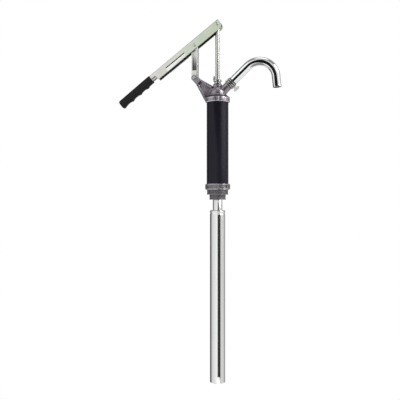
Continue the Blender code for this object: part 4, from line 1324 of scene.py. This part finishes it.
t.links.new(mixed, studio.inputs["Strength"])
studio.inputs["Color"].default_value = (1, 1, 1, 1)
paper = t.nodes.new("ShaderNodeBackground")
paper.inputs["Color"].default_value = (1, 1, 1, 1)
paper.inputs["Strength"].default_value = 1.0
path = t.nodes.new("ShaderNodeLightPath")
choose = t.nodes.new("ShaderNodeMixShader")
t.links.new(path.outputs["Is Camera Ray"], choose.inputs["Fac"])
t.links.new(studio.outputs["Background"], choose.inputs[1])
t.links.new(paper.outputs["Background"], choose.inputs[2])
out = t.nodes.new("ShaderNodeOutputWorld")
t.links.new(choose.outputs["Shader"], out.inputs["Surface"])


def area(name, azimuth, elevation, distance, size, power, color=(1, 1, 1)):
    """A softbox at azimuth degrees to the right of the front, aimed at the head."""
    light = bpy.data.lights.new(name, "AREA")
    light.shape = "RECTANGLE"
    light.size, light.size_y = size
    light.energy = power
    light.color = color
    obj = bpy.data.objects.new(name, light)
    a, el = math.radians(azimuth), math.radians(elevation)
    target = Vector((0.02, 0, 0.1))
    d = (front * math.cos(a) + right * math.sin(a)) * math.cos(el) + Vector((0, 0, math.sin(el)))
    obj.location = target + d * distance
    obj.rotation_euler = (-d).to_track_quat("-Z", "Y").to_euler()
    SCENE.collection.objects.link(obj)
    return obj


# a small black card near the spout, seen only in reflections
bm = bmesh.new()
bmesh.ops.create_grid(bm, x_segments=1, y_segments=1, size=1.0)
along, across = OUT_DIR, Vector((-OUT_DIR.z, 0, OUT_DIR.x))
centre = Vector((0.070, -0.200, 0.314))
for v in bm.verts:
    v.co = centre + along * (v.co.x * 0.160) + across * (v.co.y * 0.116 - 0.004)
mesh = bpy.data.meshes.new("flag")
bm.to_mesh(mesh)
bm.free()
flag = bpy.data.objects.new("flag", mesh)
SCENE.collection.objects.link(flag)
flag.visible_camera = False
flag.visible_diffuse = False
flag.visible_shadow = False
flag.visible_transmission = False
m = bpy.data.materials.new("flag_felt")
m.use_nodes = True
felt = m.node_tree.nodes["Principled BSDF"]
felt.inputs["Base Color"].default_value = (0.012, 0.012, 0.013, 1)
felt.inputs["Roughness"].default_value = 1.0
felt.inputs["Specular IOR Level"].default_value = 0.0
mesh.materials.append(m)

area("key_right", 66, 40, 2.2, (0.7, 0.9), 16)
area("fill_left", -62, 34, 2.6, (1.2, 1.2), 2)

camera = bpy.data.cameras.new("camera")
camera.lens = 61.4
camera.sensor_width = 36.0
camera.clip_start = 0.05
camera.clip_end = 60.0
cam = bpy.data.objects.new("camera", camera)
cam.location = (0.3777, -1.8525, -0.02825)
cam.rotation_euler = (math.radians(90), 0, CAM_TURN)
SCENE.collection.objects.link(cam)
SCENE.camera = cam
SCENE.view_settings.view_transform = "Standard"
SCENE.view_settings.look = "None"
